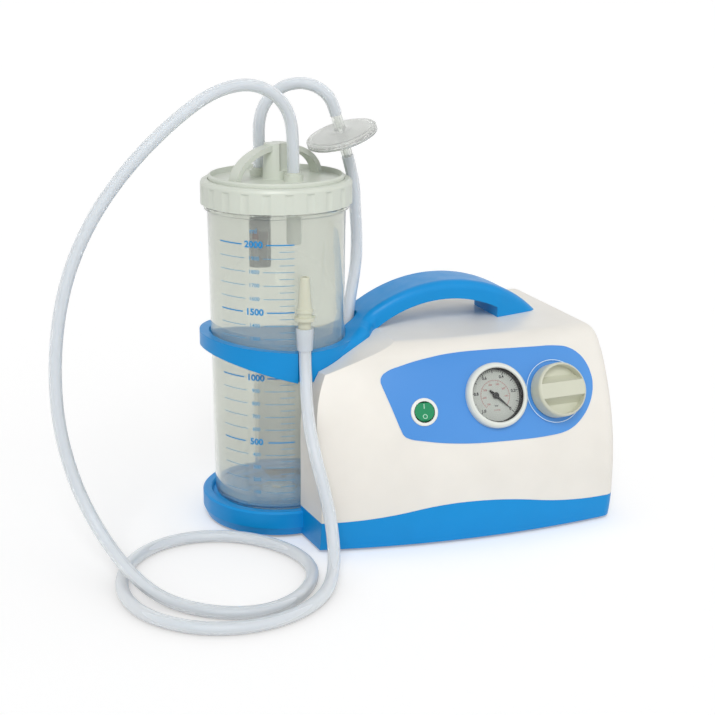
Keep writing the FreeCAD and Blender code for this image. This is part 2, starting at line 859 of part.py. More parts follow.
def gauge_case():
    """Cup that holds the gauge's works"""
    outer = cylinder(gauge_case_radius, -gauge_case_depth, gauge_case_front)
    inner_radius = gauge_case_radius - gauge_case_wall
    hollow = cylinder(inner_radius, gauge_case_wall - gauge_case_depth, gauge_case_front + 1)
    cup = outer.cut(hollow)
    pillar_top = gauge_dial_back
    pillar = tube(6.0, spindle_radius + running_gap, gauge_case_wall - gauge_case_depth, pillar_top)
    return on_panel(cup.fuse(pillar).removeSplitter(), gauge_x, gauge_z)


def gauge_dial():
    """Dial plate on the pillar"""
    radius = gauge_case_radius - gauge_case_wall - running_gap
    top = gauge_dial_back + gauge_dial_thickness
    plate = tube(radius, spindle_radius + running_gap, gauge_dial_back, top)
    return on_panel(plate, gauge_x, gauge_z)


def gauge_needle():
    """Pointer with its hub and spindle"""
    face = gauge_dial_back + gauge_dial_thickness
    spindle = cylinder(spindle_radius, face - 8.0, face + 2.4)
    hub = cylinder(2.6, face + 0.6, face + 2.4)
    low = face + 1.0
    corners = [vec(needle_length, 0.0, low), vec(2.0, 1.1, low), vec(-needle_tail + 2.0, 1.1, low),
               vec(-needle_tail, 0.6, low), vec(-needle_tail, -0.6, low),
               vec(-needle_tail + 2.0, -1.1, low), vec(2.0, -1.1, low)]
    blade = Part.Face(Part.makePolygon(corners + corners[:1])).extrude(vec(0, 0, 0.6))
    needle = fuse_all([spindle, hub, blade])
    needle.rotate(vec(0, 0, 0), z_axis, needle_angle)
    return on_panel(needle, gauge_x, gauge_z)


def gauge_lens():
    """Clear disc between the case and the bezel"""
    lens = cylinder(gauge_case_radius, gauge_case_front, gauge_case_front + gauge_lens_thickness)
    return on_panel(lens, gauge_x, gauge_z)


def gauge_bezel():
    """Rounded ring that holds the lens"""
    seat = gauge_case_front + gauge_lens_thickness
    bore = gauge_case_radius + running_gap
    outer = gauge_bezel_radius
    top = gauge_bezel_height
    profile = revolved([(bore, -6.0), (outer, -6.0), (outer, top - 3.0), (outer - 0.8, top - 1.2),
                        (outer - 2.2, top), (gauge_window_radius + 0.8, top),
                        (gauge_window_radius, seat), (bore, seat)])
    return front_skin_cut(profile, gauge_x, gauge_z)


def gauge_stem():
    """Brass stem with a hexagon behind the case"""
    back = -gauge_case_depth
    hexagon = hex_prism(7.0, back - 6.0, back)
    barb = cylinder(barb_radius, back - 6.0 - barb_length, back - 6.0)
    return on_panel(hexagon.fuse(barb).removeSplitter(), gauge_x, gauge_z)


def hex_prism(radius, low, high):
    """Upright hexagonal prism"""
    corners = [vec(radius * cos_deg(60 * i), radius * sin_deg(60 * i), low) for i in range(6)]
    return Part.Face(Part.makePolygon(corners + corners[:1])).extrude(vec(0, 0, high - low))


# Regulator

def regulator_knob():
    """Round knob with a grip bar between two scoops"""
    top = knob_lift + knob_height
    knob = cylinder(knob_radius, knob_lift, top)
    rim = edges_near(knob, lambda p, e: abs(p.z - top) < 0.1 and len(e.Vertexes) == 1)
    knob = knob.makeFillet(knob_round, rim)
    wall = knob_radius - 2.2
    for side in (1, -1):
        scoop = cylinder(wall, top - knob_scoop_depth, top + 1)
        bar_side = side * knob_bar_half_width
        roll = Part.makeCylinder(knob_scoop_radius, big, vec(-big / 2, bar_side, top), x_axis)
        roll.translate(vec(0, side * knob_scoop_radius, 0.35 * knob_scoop_radius))
        knob = knob.cut(scoop.common(roll))
    bore = cylinder(regulator_stem_radius + running_gap, 0, top - 3.0)
    hollow = tube(wall, regulator_stem_radius + 3.0, 0, top - knob_scoop_depth - 2.5)
    return on_panel(knob.cut(hollow).cut(bore), knob_x, knob_z)


def regulator_spindle():
    """Spindle that the knob turns, with its needle tip in the valve"""
    top = knob_lift + knob_height - 3.0
    spindle = cylinder(regulator_stem_radius, -20.0, top)
    tip = Part.makeCone(0.6, regulator_stem_radius, 4.0, vec(0, 0, -24.0), z_axis)
    return on_panel(spindle.fuse(tip).removeSplitter(), knob_x, knob_z)


def regulator_valve():
    """Valve body behind the front face, with its hose barb"""
    front = -6.5
    body = cylinder(regulator_body_radius, -30.0, front)
    chamber = cylinder(regulator_stem_radius + 1.5, -27.0, -16.0)
    bore = cylinder(regulator_stem_radius + running_gap, -17.0, front + 1)
    barb = Part.makeCylinder(barb_radius, regulator_body_radius + barb_length, vec(0, 0, -26.0),
                             vec(-1, 0, 0))
    body = body.fuse(barb).cut(chamber).cut(bore)
    ears = block(-18.0, 18.0, -5.0, 5.0, front - 2.5, front).cut(cylinder(8.0, front - 3, front + 1))
    return on_panel(body.fuse(ears).removeSplitter(), knob_x, knob_z)


# Switch

def switch_body():
    """Round switch housing with its white collar and terminals"""
    collar = cylinder(switch_bezel_radius, -4.0, switch_bezel_height)
    rim = edges_near(collar, lambda p, e: p.z > 1.0 and len(e.Vertexes) == 1)
    collar = collar.makeFillet(0.9, rim)
    collar = on_panel(collar, switch_x, switch_z).cut(front_wedge(-label_thickness))
    barrel = on_panel(cylinder(switch_barrel_radius, -switch_depth, 0.9), switch_x, switch_z)
    blades = [on_panel(block(x - 0.4, x + 0.4, -2.4, 2.4, -switch_depth - 8, -switch_depth),
                       switch_x, switch_z) for x in (-4.0, 4.0)]
    hollow = cylinder(switch_bore_radius, 1.6 - switch_depth, switch_bezel_height + 1)
    trunnion = Part.makeCylinder(1.2 + running_gap, 2 * switch_barrel_radius - 1.6,
                                 vec(0.8 - switch_barrel_radius, 0, -rocker_pivot_depth), x_axis)
    body = collar.fuse([barrel] + blades)
    body = body.cut(on_panel(hollow, switch_x, switch_z))
    return body.cut(on_panel(trunnion, switch_x, switch_z)).removeSplitter()


def switch_rocker():
    """Round rocker key on two trunnions, resting with one half pressed in"""
    pivot = vec(0, 0, -rocker_pivot_depth)
    key = cylinder(rocker_radius, -rocker_pivot_depth - 5.0, switch_bezel_height + 3)
    swing = Part.makeCylinder(rocker_radius, 4 * rocker_radius,
                              vec(-2 * rocker_radius, 0, -rocker_pivot_depth), x_axis)
    key = key.common(swing)
    ridge = switch_bezel_height - 0.4
    roof = [vec(-big, -big, ridge + big * math.tan(math.radians(rocker_tilt))), vec(-big, 0, ridge),
            vec(-big, big, ridge + big * math.tan(math.radians(rocker_tilt)))]
    above = Part.Face(Part.makePolygon(roof + roof[:1])).extrude(vec(2 * big, 0, 0))
    key = key.cut(above)
    pin = Part.makeCylinder(1.2, 2 * switch_barrel_radius - 2.0,
                            vec(1.0 - switch_barrel_radius, 0, -rocker_pivot_depth), x_axis)
    key = key.fuse(pin).removeSplitter()
    key.rotate(pivot, x_axis, -rocker_tilt)
    return on_panel(key, switch_x, switch_z)


# Canister

def jar_radius(z):
    """Outer radius of the jar at a height"""
    return jar_bottom_radius + jar_taper * (z - jar_bottom_z)


def jar_rim_z():
    """Top of the jar's neck"""
    return jar_flange_z + jar_flange_thickness + jar_neck_height


def canister_jar():
    """Clear jar with its flange, plain neck and lugs"""
    flange_top = jar_flange_z + jar_flange_thickness
    low = jar_bottom_z
    bend = jar_bottom_round
    outer = [(0, low + 1.0), (14.0, low + 1.0), (16.0, low),
             (jar_bottom_radius - bend, low), (jar_bottom_radius - 0.3 * bend, low + 0.3 * bend),
             (jar_radius(low + bend), low + bend), (jar_radius(jar_flange_z), jar_flange_z),
             (jar_flange_radius, jar_flange_z), (jar_flange_radius, flange_top),
             (jar_neck_radius, flange_top), (jar_neck_radius, jar_rim_z())]
    inside = low + jar_floor
    inner = [(jar_neck_radius - jar_neck_wall, jar_rim_z()),
             (jar_radius(jar_flange_z) - jar_wall, jar_flange_z),
             (jar_radius(inside + bend) - jar_wall, inside + bend),
             (jar_radius(inside) - jar_wall - bend, inside), (jar_gate_radius, inside),
             (jar_gate_radius - 1.5, inside + 1.5), (0, inside + 1.5)]
    jar = revolved(outer + inner, jar_x, jar_y)
    lug_low = flange_top + 4.2
    for index in range(4):
        jar = jar.fuse(lug(jar_neck_radius - 0.5, jar_neck_radius + jar_lug_reach, lug_low,
                           lug_low + 2.0, 45.0 + 90.0 * index, 34.0))
    return jar.removeSplitter()


def lug(inner, outer, low, high, middle_angle, span):
    """Part of a ring, for the screw lugs of the jar and the lid"""
    corners = [vec(jar_x + inner, jar_y, low), vec(jar_x + outer, jar_y, low + 0.6),
               vec(jar_x + outer, jar_y, high - 0.6), vec(jar_x + inner, jar_y, high)]
    face = Part.Face(Part.makePolygon(corners + corners[:1]))
    face.rotate(vec(jar_x, jar_y, 0), z_axis, middle_angle - span / 2)
    return face.revolve(vec(jar_x, jar_y, 0), z_axis, span)


def lid_ring():
    """Screw ring with shallow scallops round it and lugs inside"""
    outer = lid_ring_radius
    inner = outer - lid_ring_wall
    hole = lid_lip_radius + lid_gap
    top = lid_ring_top_z
    foot = plate_flange_top_z() + lid_gap
    ring = revolved([(inner, lid_ring_bottom_z), (outer, lid_ring_bottom_z), (outer, top - 3.0),
                     (outer - 1.0, top - 1.0), (outer - 3.0, top), (hole, top), (hole, foot),
                     (hole + 1.6, foot), (hole + 1.6, top - 2.5), (inner, top - 2.5)],
                    jar_x, jar_y)
    scallop_radius = 9.0
    reach = outer + scallop_radius - lid_scallop_depth
    for index in range(lid_scallops):
        angle = 360.0 * index / lid_scallops
        x = jar_x + reach * cos_deg(angle)
        y = jar_y + reach * sin_deg(angle)
        ring = ring.cut(cylinder(scallop_radius, lid_ring_bottom_z - 1, top - 4.5, x, y))
    for index in range(4):
        ring = ring.fuse(lug(jar_neck_radius + lid_gap + 0.2, inner + 0.5, lid_ring_bottom_z,
                             lid_ring_bottom_z + 2.0, 90.0 * index, 30.0))
    return ring.removeSplitter()


def plate_flange_low_z():
    """Underside of the lid plate's flange, on the gasket"""
    return jar_rim_z() + gasket_thickness


def plate_flange_top_z():
    """Top of the lid plate's flange, under the screw ring"""
    return plate_flange_low_z() + lid_skin


def lid_gasket():
    """Flat rubber ring between the jar and the lid plate"""
    return tube(jar_neck_radius, jar_neck_radius - jar_neck_wall, jar_rim_z(),
                plate_flange_low_z(), jar_x, jar_y)


def across(distance, z=0.0):
    """Point on the line of the two ports, square to the arch"""
    return vec(jar_x + distance * sin_deg(lid_axis_angle), jar_y - distance * cos_deg(lid_axis_angle), z)


def port(distance):
    """Boss and barb of a hose port"""
    place = across(distance)
    boss = cylinder(port_boss_radius, lid_floor_z - lid_skin, port_top_z - 2.0, place.x, place.y)
    collar = cylinder(port_boss_radius - 1.6, port_top_z - 2.0, port_top_z, place.x, place.y)
    barb = cylinder(barb_radius, port_top_z, port_top_z + barb_length, place.x, place.y)
    return boss.fuse([collar, barb]).removeSplitter()


def lid_arch():
    """Arched grip over the lid"""
    low = lid_floor_z - 1.0
    rise = arch_peak_z - low
    width = block(-big, big, -arch_width / 2, arch_width / 2, low, big)
    outer = elliptic_prism(arch_half_span, rise, low)
    inner = elliptic_prism(arch_half_span - arch_band, rise - arch_band, low)
    arch = outer.cut(inner).common(width)
    arch.rotate(vec(0, 0, 0), z_axis, lid_axis_angle)
    arch.translate(vec(jar_x, jar_y, 0))
    return arch


def elliptic_prism(half_span, rise, low):
    """Prism along Y with an elliptic outline that stands on a height"""
    ellipse = Part.Ellipse(vec(0, -arch_width, low), half_span, rise)
    ellipse.Axis = y_axis
    ellipse.XAxis = x_axis
    return Part.Face(Part.Wire([ellipse.toShape()])).extrude(vec(0, 2 * arch_width, 0))


def lid_hub():
    """Hub in the middle of the arch, with a hose channel down its front"""
    hub = Part.makeCone(hub_radius + 1.0, hub_radius - 0.5, hub_top_z - lid_floor_z + 1.0,
                        vec(jar_x, jar_y, lid_floor_z - 1.0), z_axis)
    flute = across(hub_radius + 2.0)
    back_flute = across(-hub_radius - 2.0)
    for place in (flute, back_flute):
        hub = hub.cut(cylinder(hub_flute_radius, port_top_z, big, place.x, place.y))
    return hub


def lid_plate():
    """Lid moulding: flange, raised dish, ports, arch, hub and inlet spout"""
    flange_radius = jar_neck_radius + 1.4
    low = plate_flange_low_z()
    skin_z = lid_floor_z - lid_skin
    dish = revolved([(0, skin_z), (lid_lip_radius - lid_skin, skin_z),
                     (lid_lip_radius - lid_skin, low), (flange_radius, low),
                     (flange_radius, plate_flange_top_z()), (lid_lip_radius, plate_flange_top_z()),
                     (lid_lip_radius, lid_lip_top_z - 1.0), (lid_lip_radius - 1.0, lid_lip_top_z),
                     (lid_lip_radius - 2.0, lid_lip_top_z), (lid_lip_radius - 3.0, lid_floor_z),
                     (0, lid_floor_z)], jar_x, jar_y)
    patient = across(port_distance)
    spout = cylinder(spout_radius, spout_bottom_z, skin_z + 0.5, patient.x, patient.y)
    slant = block(-20, 20, -20, 20, -20, 0)
    slant.rotate(vec(0, 0, 0), x_axis, 14.0)
    slant.translate(vec(patient.x, patient.y, spout_bottom_z + 1.5))
    spout = spout.cut(slant)
    seat = cage_seat()
    plate = dish.fuse([spout, port(port_distance), port(-port_distance), lid_arch(), lid_hub(), seat])
    bore = cylinder(barb_radius - 0.9, 0, big, patient.x, patient.y)
    vacuum = across(-port_distance)
    plate = plate.cut(bore).cut(cylinder(barb_radius - 0.9, 0, big, vacuum.x, vacuum.y))
    throat = cylinder(spout_radius - 1.4, 0, skin_z - 4.0, patient.x, patient.y)
    return plate.cut(throat).removeSplitter()


def cage_seat():
    """Spigot under the vacuum port that holds the float cage and is the float's seat"""
    vacuum = across(-port_distance)
    radius = cage_radius - cage_wall
    return cylinder(radius, cage_seat_z(), lid_floor_z - lid_skin + 0.5, vacuum.x, vacuum.y)


def cage_seat_z():
    """Height at which the raised float shuts the vacuum port"""
    return float_low_z() + float_height + float_cap_height + float_travel + float_gap


def float_low_z():
    """Underside of the resting float"""
    return cage_bottom_z + cage_wall


def float_cage():
    """Tube with windows and a floor, pushed on the spigot"""
    vacuum = across(-port_distance)
    top = lid_floor_z - lid_skin
    inner = cage_radius - cage_wall
    cage = cylinder(cage_radius, cage_bottom_z, top, vacuum.x, vacuum.y)
    cage = cage.cut(cylinder(inner, float_low_z(), top + 1, vacuum.x, vacuum.y))
    cage = cage.cut(cylinder(inner - 3.0, 0, float_low_z() + 1, vacuum.x, vacuum.y))
    window_top = float_low_z() + float_height + float_cap_height + 2.0
    for index in range(4):
        window = block(0, 2 * cage_radius, -3.2, 3.2, float_low_z() + 3.0, window_top)
        window.rotate(vec(0, 0, 0), z_axis, 90.0 * index - 45.0)
        window.translate(vec(vacuum.x, vacuum.y, 0))
        cage = cage.cut(window)
    return cage


def valve_float():
    """Hollow float that rises in the cage"""
    vacuum = across(-port_distance)
    low = float_low_z()
    body = cylinder(float_radius, low, low + float_height, vacuum.x, vacuum.y)
    hollow = cylinder(float_radius - 1.2, low - 1, low + float_height - 2.0, vacuum.x, vacuum.y)
    return body.cut(hollow)


def float_cap():
    """Rubber cap on the float, which shuts the port"""
    vacuum = across(-port_distance)
    low = float_low_z() + float_height
    cap = cylinder(float_radius, low, low + float_cap_height, vacuum.x, vacuum.y)
    top = low + float_cap_height
    rim = edges_near(cap, lambda p, e: abs(p.z - top) < 0.1 and len(e.Vertexes) == 1)
    return cap.makeFillet(1.2, rim)


# Filter, made about its own middle

def in_filter(shape):
    """A shape made upright about the origin, set on the filter's axis"""
    moved = shape.copy()
    turn = FreeCAD.Rotation(z_axis, vec(*filter_axis))
    moved.Placement = FreeCAD.Placement(vec(*filter_centre), turn)
    return moved


def filter_end(side):
    """Middle of the end of one of the filter's stems"""
    axis = vec(*filter_axis)
    axis.normalize()
    return vec(*filter_centre) + axis * (side * filter_reach)


def filter_shell(side):
    """Half shell with its stem, ring rib and welded rim"""
    half = filter_half_thickness
    wall = filter_wall
    seam = 0.25
    shell = revolved([(0, half - wall), (filter_radius - 5.0, half - wall - 1.2),
                      (filter_radius - 3.0, seam), (filter_radius, seam), (filter_radius, 1.8),
                      (filter_radius - 2.2, 1.8), (filter_radius - 4.0, half - 0.8), (10.0, half + 0.6),
                      (filter_stem_radius + 1.4, half + 1.2), (filter_stem_radius, half + 2.6),
                      (filter_stem_radius, filter_reach), (barb_radius, filter_reach),
                      (barb_radius, filter_reach + barb_length), (0, filter_reach + barb_length)])
    bore = cylinder(barb_radius - 0.9, -1, big)
    shell = shell.cut(bore)
    if side < 0:
        shell = shell.mirror(vec(0, 0, 0), z_axis)
    return in_filter(shell)


def filter_membrane():
    """Thin disc welded between the shells"""
    return in_filter(cylinder(filter_radius - 0.3, -0.25, 0.25))


# Hoses

def hose_edges(points):
    """Straight runs joined by tangent arcs, with the arcs' radii"""
    corners = [vec(*point) for point in points]
    edges = []
    radii = []
    start = corners[0]
    for before, corner, after in zip(corners, corners[1:], corners[2:]):
        into = corner - before
        out = after - corner
        turn = into.getAngle(out)
        reach = 0.45 * min(into.Length, out.Length)
        into.normalize()
        out.normalize()
        radius = reach / math.tan(turn / 2)
        radii.append(radius)
        arc_start = corner - into * reach
        arc_end = corner + out * reach
        middle_way = out - into
        middle_way.normalize()
        middle = corner + middle_way * (radius / math.cos(turn / 2) - radius)
        edges.append(Part.makeLine(start, arc_start))
        edges.append(Part.Arc(arc_start, middle, arc_end).toShape())
        start = arc_end
    edges.append(Part.makeLine(start, corners[-1]))
    return edges, radii


def hose(name, points):
    """Round hose along a route, with a bore at each end for its barb"""
    edges, radii = hose_edges(points)
    path = Part.Wire(edges)
    start = vec(*points[0])
    first_way = vec(*points[1]) - start
    circle = Part.Wire([Part.makeCircle(hose_radius, start, first_way)])
    body = path.makePipeShell([circle], True, False)
    length = sum(edge.Length for edge in edges)
    volume = math.pi * hose_radius ** 2 * length
    print(name, "length", round(length, 1), "least radius", round(min(radii), 1),
          "volume ratio", round(body.Volume / volume, 5), "valid", body.isValid())
    print(name, "radii", [round(radius) for radius in radii])
    return body


def end_bore(end, way):
    """Bore in a hose's end, round a barb"""
    way.normalize()
    return Part.makeCylinder(hose_bore_radius, barb_length + 0.5, end, way)


def bored(body, points, ends):
    """A hose with its chosen ends bored"""
    if "start" in ends:
        body = body.cut(end_bore(vec(*points[0]), vec(*points[1]) - vec(*points[0])))
    if "end" in ends:
        body = body.cut(end_bore(vec(*points[-1]), vec(*points[-2]) - vec(*points[-1])))
    return body


def patient_hose():
    """Long hose from the patient port to the conical connector"""
    place = across(port_distance, port_top_z)
    points = [(place.x, place.y, place.z), (place.x, place.y, patient_route[1][2])] + patient_route[2:]
    return bored(hose("patient_hose", points), points, ["start"])


def filter_hose_upper():
    """Short hose from the vacuum port over to the filter"""
    place = across(-port_distance, port_top_z)
    axis = vec(*filter_axis)
    axis.normalize()
    end = filter_end(1)
    lead = end + axis * upper_route_lead
    points = [(place.x, place.y, place.z), (place.x, place.y, upper_route[1][2])] + upper_route[2:]
    points += [(lead.x, lead.y, lead.z), (end.x, end.y, end.z)]
    return bored(hose("filter_hose_upper", points), points, ["start", "end"])


def filter_hose_lower():
    """Hose from the filter down to the vacuum inlet in the housing"""
    axis = vec(*filter_axis)
    axis.normalize()
    start = filter_end(-1)
    lead = start - axis * lower_route_lead
    points = [(start.x, start.y, start.z), (lead.x, lead.y, lead.z)] + lower_route
    points += [(channel_x, jar_y, inlet_shoulder_z())]
    return bored(hose("filter_hose_lower", points), points, ["start", "end"])


def inlet_shoulder_z():
    """Height at which the lower hose ends on the vacuum inlet"""
    return channel_floor_z + elbow_height


def vacuum_inlet():
    """Elbow that stands in the housing's channel: a barb up, and a stem through the wall"""
    shoulder = inlet_shoulder_z()
    stem_z = channel_floor_z + elbow_height / 2
    wall_x = channel_x + channel_radius + cover_wall
    knee = cylinder(channel_radius - 0.4, channel_floor_z, shoulder, channel_x, jar_y)
    upper = cylinder(barb_radius, shoulder, shoulder + barb_length, channel_x, jar_y)
    stem = lying_cylinder(barb_radius, channel_x, wall_x + 4.0 + barb_length, jar_y, stem_z)
    nut = hex_prism(6.0, 0.0, 3.6)
    nut.rotate(vec(0, 0, 0), y_axis, 90)
    nut.translate(vec(wall_x + 0.1, jar_y, stem_z))
    inlet = fuse_all([knee, upper, stem, nut])
    inlet = inlet.cut(cylinder(barb_radius - 0.9, stem_z, big, channel_x, jar_y))
    return inlet.cut(lying_cylinder(barb_radius - 0.9, channel_x, big, jar_y, stem_z))


def hose_cuff():
    """Flared sleeve over the hose's end and the connector's stem"""
    hose_top = patient_route[-1][2]
    outer = revolved([(0, cuff_bottom_z), (cuff_bottom_radius, cuff_bottom_z),
                      (cuff_top_radius, cuff_top_z - 3.0), (cuff_top_radius, cuff_top_z),
                      (0, cuff_top_z)], notch_x, notch_y)
    outer = outer.cut(cylinder(hose_radius, 0, hose_top, notch_x, notch_y))
    return outer.cut(cylinder(connector_stem_radius, 0, big, notch_x, notch_y).common(
        cylinder(big, hose_top, big, notch_x, notch_y)))


def hose_connector():
    """Stepped conical connector with two flanges"""
    hose_top = patient_route[-1][2]
    slope = 0.5
    below = connector_stem_radius
    rings = [(0, hose_top), (below, hose_top)]
    for radius, low, high in connector_flanges:
        rings += [(below, low - slope), (radius, low), (radius, high),
                  (connector_neck_radius, high + slope)]
        below = connector_neck_radius
    step_height = (connector_tip_z - connector_steps_z) / connector_step_count
    for index in range(connector_step_count):
        low = connector_steps_z + index * step_height
        radius = connector_step_radius - index * connector_step_drop
        rings += [(radius, low), (radius - connector_step_taper, low + step_height - 1.0)]
    rings += [(connector_tip_radius, connector_tip_z), (0, connector_tip_z)]
    body = revolved(rings, notch_x, notch_y)
    return body.cut(cylinder(connector_bore_radius, 0, big, notch_x, notch_y))


# Motor and pump

def mounting_plate():
    """Folded steel plate that carries the motor and the pump"""
    plate = block(crankcase_start_x - 4, motor_end_x + 4, motor_y - 36, motor_y + 36,
                  plate_z, plate_z + plate_thickness)
    tabs = []
    for side in (-1, 1):
        y = motor_y + side * 36
        y0 = min(y, y - side * plate_thickness)
        tabs.append(block(crankcase_start_x - 4, motor_end_x + 4, y0, y0 + plate_thickness,
                          plate_z, plate_z + 9))
    return fuse_all([plate] + tabs)


def mount_places():
    """Places of the four rubber mounts"""
    return [(x, motor_y + side * 28) for x in (crankcase_start_x + 8, motor_end_x - 10)
            for side in (-1, 1)]


def rubber_mounts():
    """Soft posts between the floor and the plate"""
    low = foot_height + base_floor
    mounts = []
    for x, y in mount_places():
        waist = (low + plate_z) / 2
        mounts.append(revolved([(0, low), (mount_radius, low), (mount_radius, low + 2.5),
                                (mount_radius - 1.5, waist), (mount_radius, plate_z - 2.5),
                                (mount_radius, plate_z), (0, plate_z)], x, y))
    return Part.makeCompound(mounts)


def bearing_x(end):
    """Start of each bearing along the shaft"""
    return motor_start_x if end == "front" else motor_end_x - bearing_width


def motor_frame():
    """Motor can with its end walls and feet"""
    can = lying_cylinder(motor_radius, motor_start_x, motor_end_x, motor_y, motor_z)
    inside = lying_cylinder(motor_radius - motor_wall, motor_start_x + bearing_width,
                            motor_end_x - bearing_width, motor_y, motor_z)
    bore = lying_cylinder(bearing_radius, 0, motor_end_x + 50, motor_y, motor_z)
    bore = bore.common(block(motor_start_x - 1, motor_end_x + 1, -big, big, -big, big))
    foot_top = motor_z - motor_radius * 0.8
    feet = block(motor_start_x + 6, motor_end_x - 6, motor_y - 24, motor_y + 24,
                 plate_z + plate_thickness, foot_top)
    frame = can.fuse(feet).cut(inside).cut(bore)
    for index in range(8):
        slot = block(motor_start_x + 10, motor_end_x - 10, -3.0, 3.0, motor_radius - 6, motor_radius + 4)
        slot.rotate(vec(0, 0, 0), x_axis, 30.0 + 240.0 * index / 7 - 150.0)
        slot.translate(vec(0, motor_y, motor_z))
        frame = frame.cut(slot)
    return frame.removeSplitter()


def motor_stator():
    """Laminated ring with its windings' bulges at both ends"""
    start = motor_start_x + bearing_width + 6
    end = motor_end_x - bearing_width - 6
    outer = motor_radius - motor_wall
    inner = rotor_radius + stator_bore_gap
    ring = lying_cylinder(outer, start + 6, end - 6, motor_y, motor_z)
    coils = lying_cylinder(outer - 4, start, end, motor_y, motor_z)
    return ring.fuse(coils).cut(lying_cylinder(inner, start - 1, end + 1, motor_y, motor_z)).removeSplitter()


def rotor_shaft():
    """Shaft with the rotor's iron core and the crank at its front end"""
    core = lying_cylinder(rotor_radius, motor_start_x + bearing_width + 12,
                          motor_end_x - bearing_width - 12, motor_y, motor_z)
    shaft = lying_cylinder(shaft_radius, crankcase_start_x + crankcase_wall + 2,
                           fan_start_x + fan_width + 3, motor_y, motor_z)
    crank = lying_cylinder(crank_radius, crankcase_start_x + crankcase_wall + 2,
                           crankcase_end_x - crankcase_wall - 3, motor_y, motor_z - crank_offset)
    return fuse_all([core, shaft, crank])


def bearing(end):
    """Ball bearing, drawn as one ring with its shield grooves"""
    start = bearing_x(end)
    ring = lying_cylinder(bearing_radius, start, start + bearing_width, motor_y, motor_z)
    ring = ring.cut(lying_cylinder(shaft_radius + running_gap, start - 1, start + bearing_width + 1,
                                   motor_y, motor_z))
    for x in (start - 0.2, start + bearing_width - 0.6):
        groove = lying_cylinder(bearing_radius - 2, x, x + 0.8, motor_y, motor_z)
        ring = ring.cut(groove.cut(lying_cylinder(shaft_radius + 2, x - 1, x + 2, motor_y, motor_z)))
    return ring


def cooling_fan():
    """Fan with slanted blades on a hub"""
    hub = lying_cylinder(9.0, fan_start_x, fan_start_x + fan_width, motor_y, motor_z)
    blades = []
    for index in range(fan_blades):
        blade = block(-1.0, 1.0, -4.5, 4.5, 6.0, fan_radius)
        blade.rotate(vec(0, 0, 0), z_axis, 40.0)
        blade.rotate(vec(0, 0, 0), x_axis, 360.0 * index / fan_blades)
        blade.translate(vec(fan_start_x + fan_width / 2, motor_y, motor_z))
        blades.append(blade)
    fan = hub.fuse(blades)
    rim = lying_cylinder(fan_radius, fan_start_x, fan_start_x + fan_width, motor_y, motor_z)
    fan = fan.common(rim)
    return fan.cut(lying_cylinder(shaft_radius, 0, big, motor_y, motor_z)).removeSplitter()


def pump_crankcase():
    """Crankcase, open at the top to the cylinder"""
    case = block(crankcase_start_x, crankcase_end_x, motor_y - crankcase_half,
                 motor_y + crankcase_half, plate_z + plate_thickness, motor_z + crankcase_half)
    case = case.cut(lying_cylinder(crankcase_bore, crankcase_start_x + crankcase_wall,
                                   crankcase_end_x - crankcase_wall, motor_y, motor_z))
    mouth_x = (crankcase_start_x + crankcase_end_x) / 2
    mouth_radius = (crankcase_end_x - crankcase_start_x) / 2 - crankcase_wall
    case = case.cut(cylinder(mouth_radius, motor_z, motor_z + crankcase_half + 1, mouth_x, motor_y))
    return case.cut(lying_cylinder(shaft_radius + 0.5, 0, big, motor_y, motor_z))


def pump_middle_x():
    """Place of the cylinder along the shaft"""
    return (crankcase_start_x + crankcase_end_x) / 2


def pump_cylinder():
    """Cylinder on the crankcase, with cooling ribs"""
    low = motor_z + crankcase_half
    outer = piston_radius + cylinder_wall
    bore = piston_radius + running_gap
    parts = [cylinder(outer, low, cylinder_top_z, pump_middle_x(), motor_y)]
    for index in range(rib_count):
        z = low + rib_pitch * (index + 1)
        parts.append(cylinder(outer + rib_reach, z, z + rib_thickness, pump_middle_x(), motor_y))
    body = fuse_all(parts)
    return body.cut(cylinder(bore, low - 1, cylinder_top_z + 1, pump_middle_x(), motor_y))


def rocking_piston():
    """Piston, rod and big end in one piece"""
    x = pump_middle_x()
    centre_z = motor_z - crank_offset
    crown = cylinder(piston_radius, piston_top_z - piston_height, piston_top_z, x, motor_y)
    half = (crankcase_end_x - crankcase_start_x) / 2 - crankcase_wall - 3.5
    big_end = lying_cylinder(big_end_radius, x - half, x + half, motor_y, centre_z)
    rod = block(x - half, x + half, motor_y - 4, motor_y + 4, centre_z + big_end_bore,
                piston_top_z - 1)
    piston = fuse_all([crown, big_end, rod])
    return piston.cut(lying_cylinder(big_end_bore, x - 50, x + 50, motor_y, centre_z))


def pump_head():
    """Head with fins and two hose barbs"""
    x = pump_middle_x()
    radius = piston_radius + cylinder_wall
    top_z = cylinder_top_z + head_height
    head = cylinder(radius, cylinder_top_z, top_z, x, motor_y)
    first_x = x - head_fin_pitch * (head_fin_count - 1) / 2 - head_fin_gap / 2
    for index in range(head_fin_count):
        fin_x = first_x + index * head_fin_pitch
        head = head.cut(block(fin_x, fin_x + head_fin_gap, motor_y - 2 * radius,
                              motor_y + 2 * radius, top_z - head_fin_depth, big))
    barb_z = cylinder_top_z + barb_radius + 0.3
    for way in (-1, 1):
        barb = Part.makeCylinder(barb_radius, head_barb_reach,
                                 vec(x, motor_y + way * head_barb_offset, barb_z), vec(0, way, 0))
        head = head.fuse(barb)
    return head.removeSplitter()


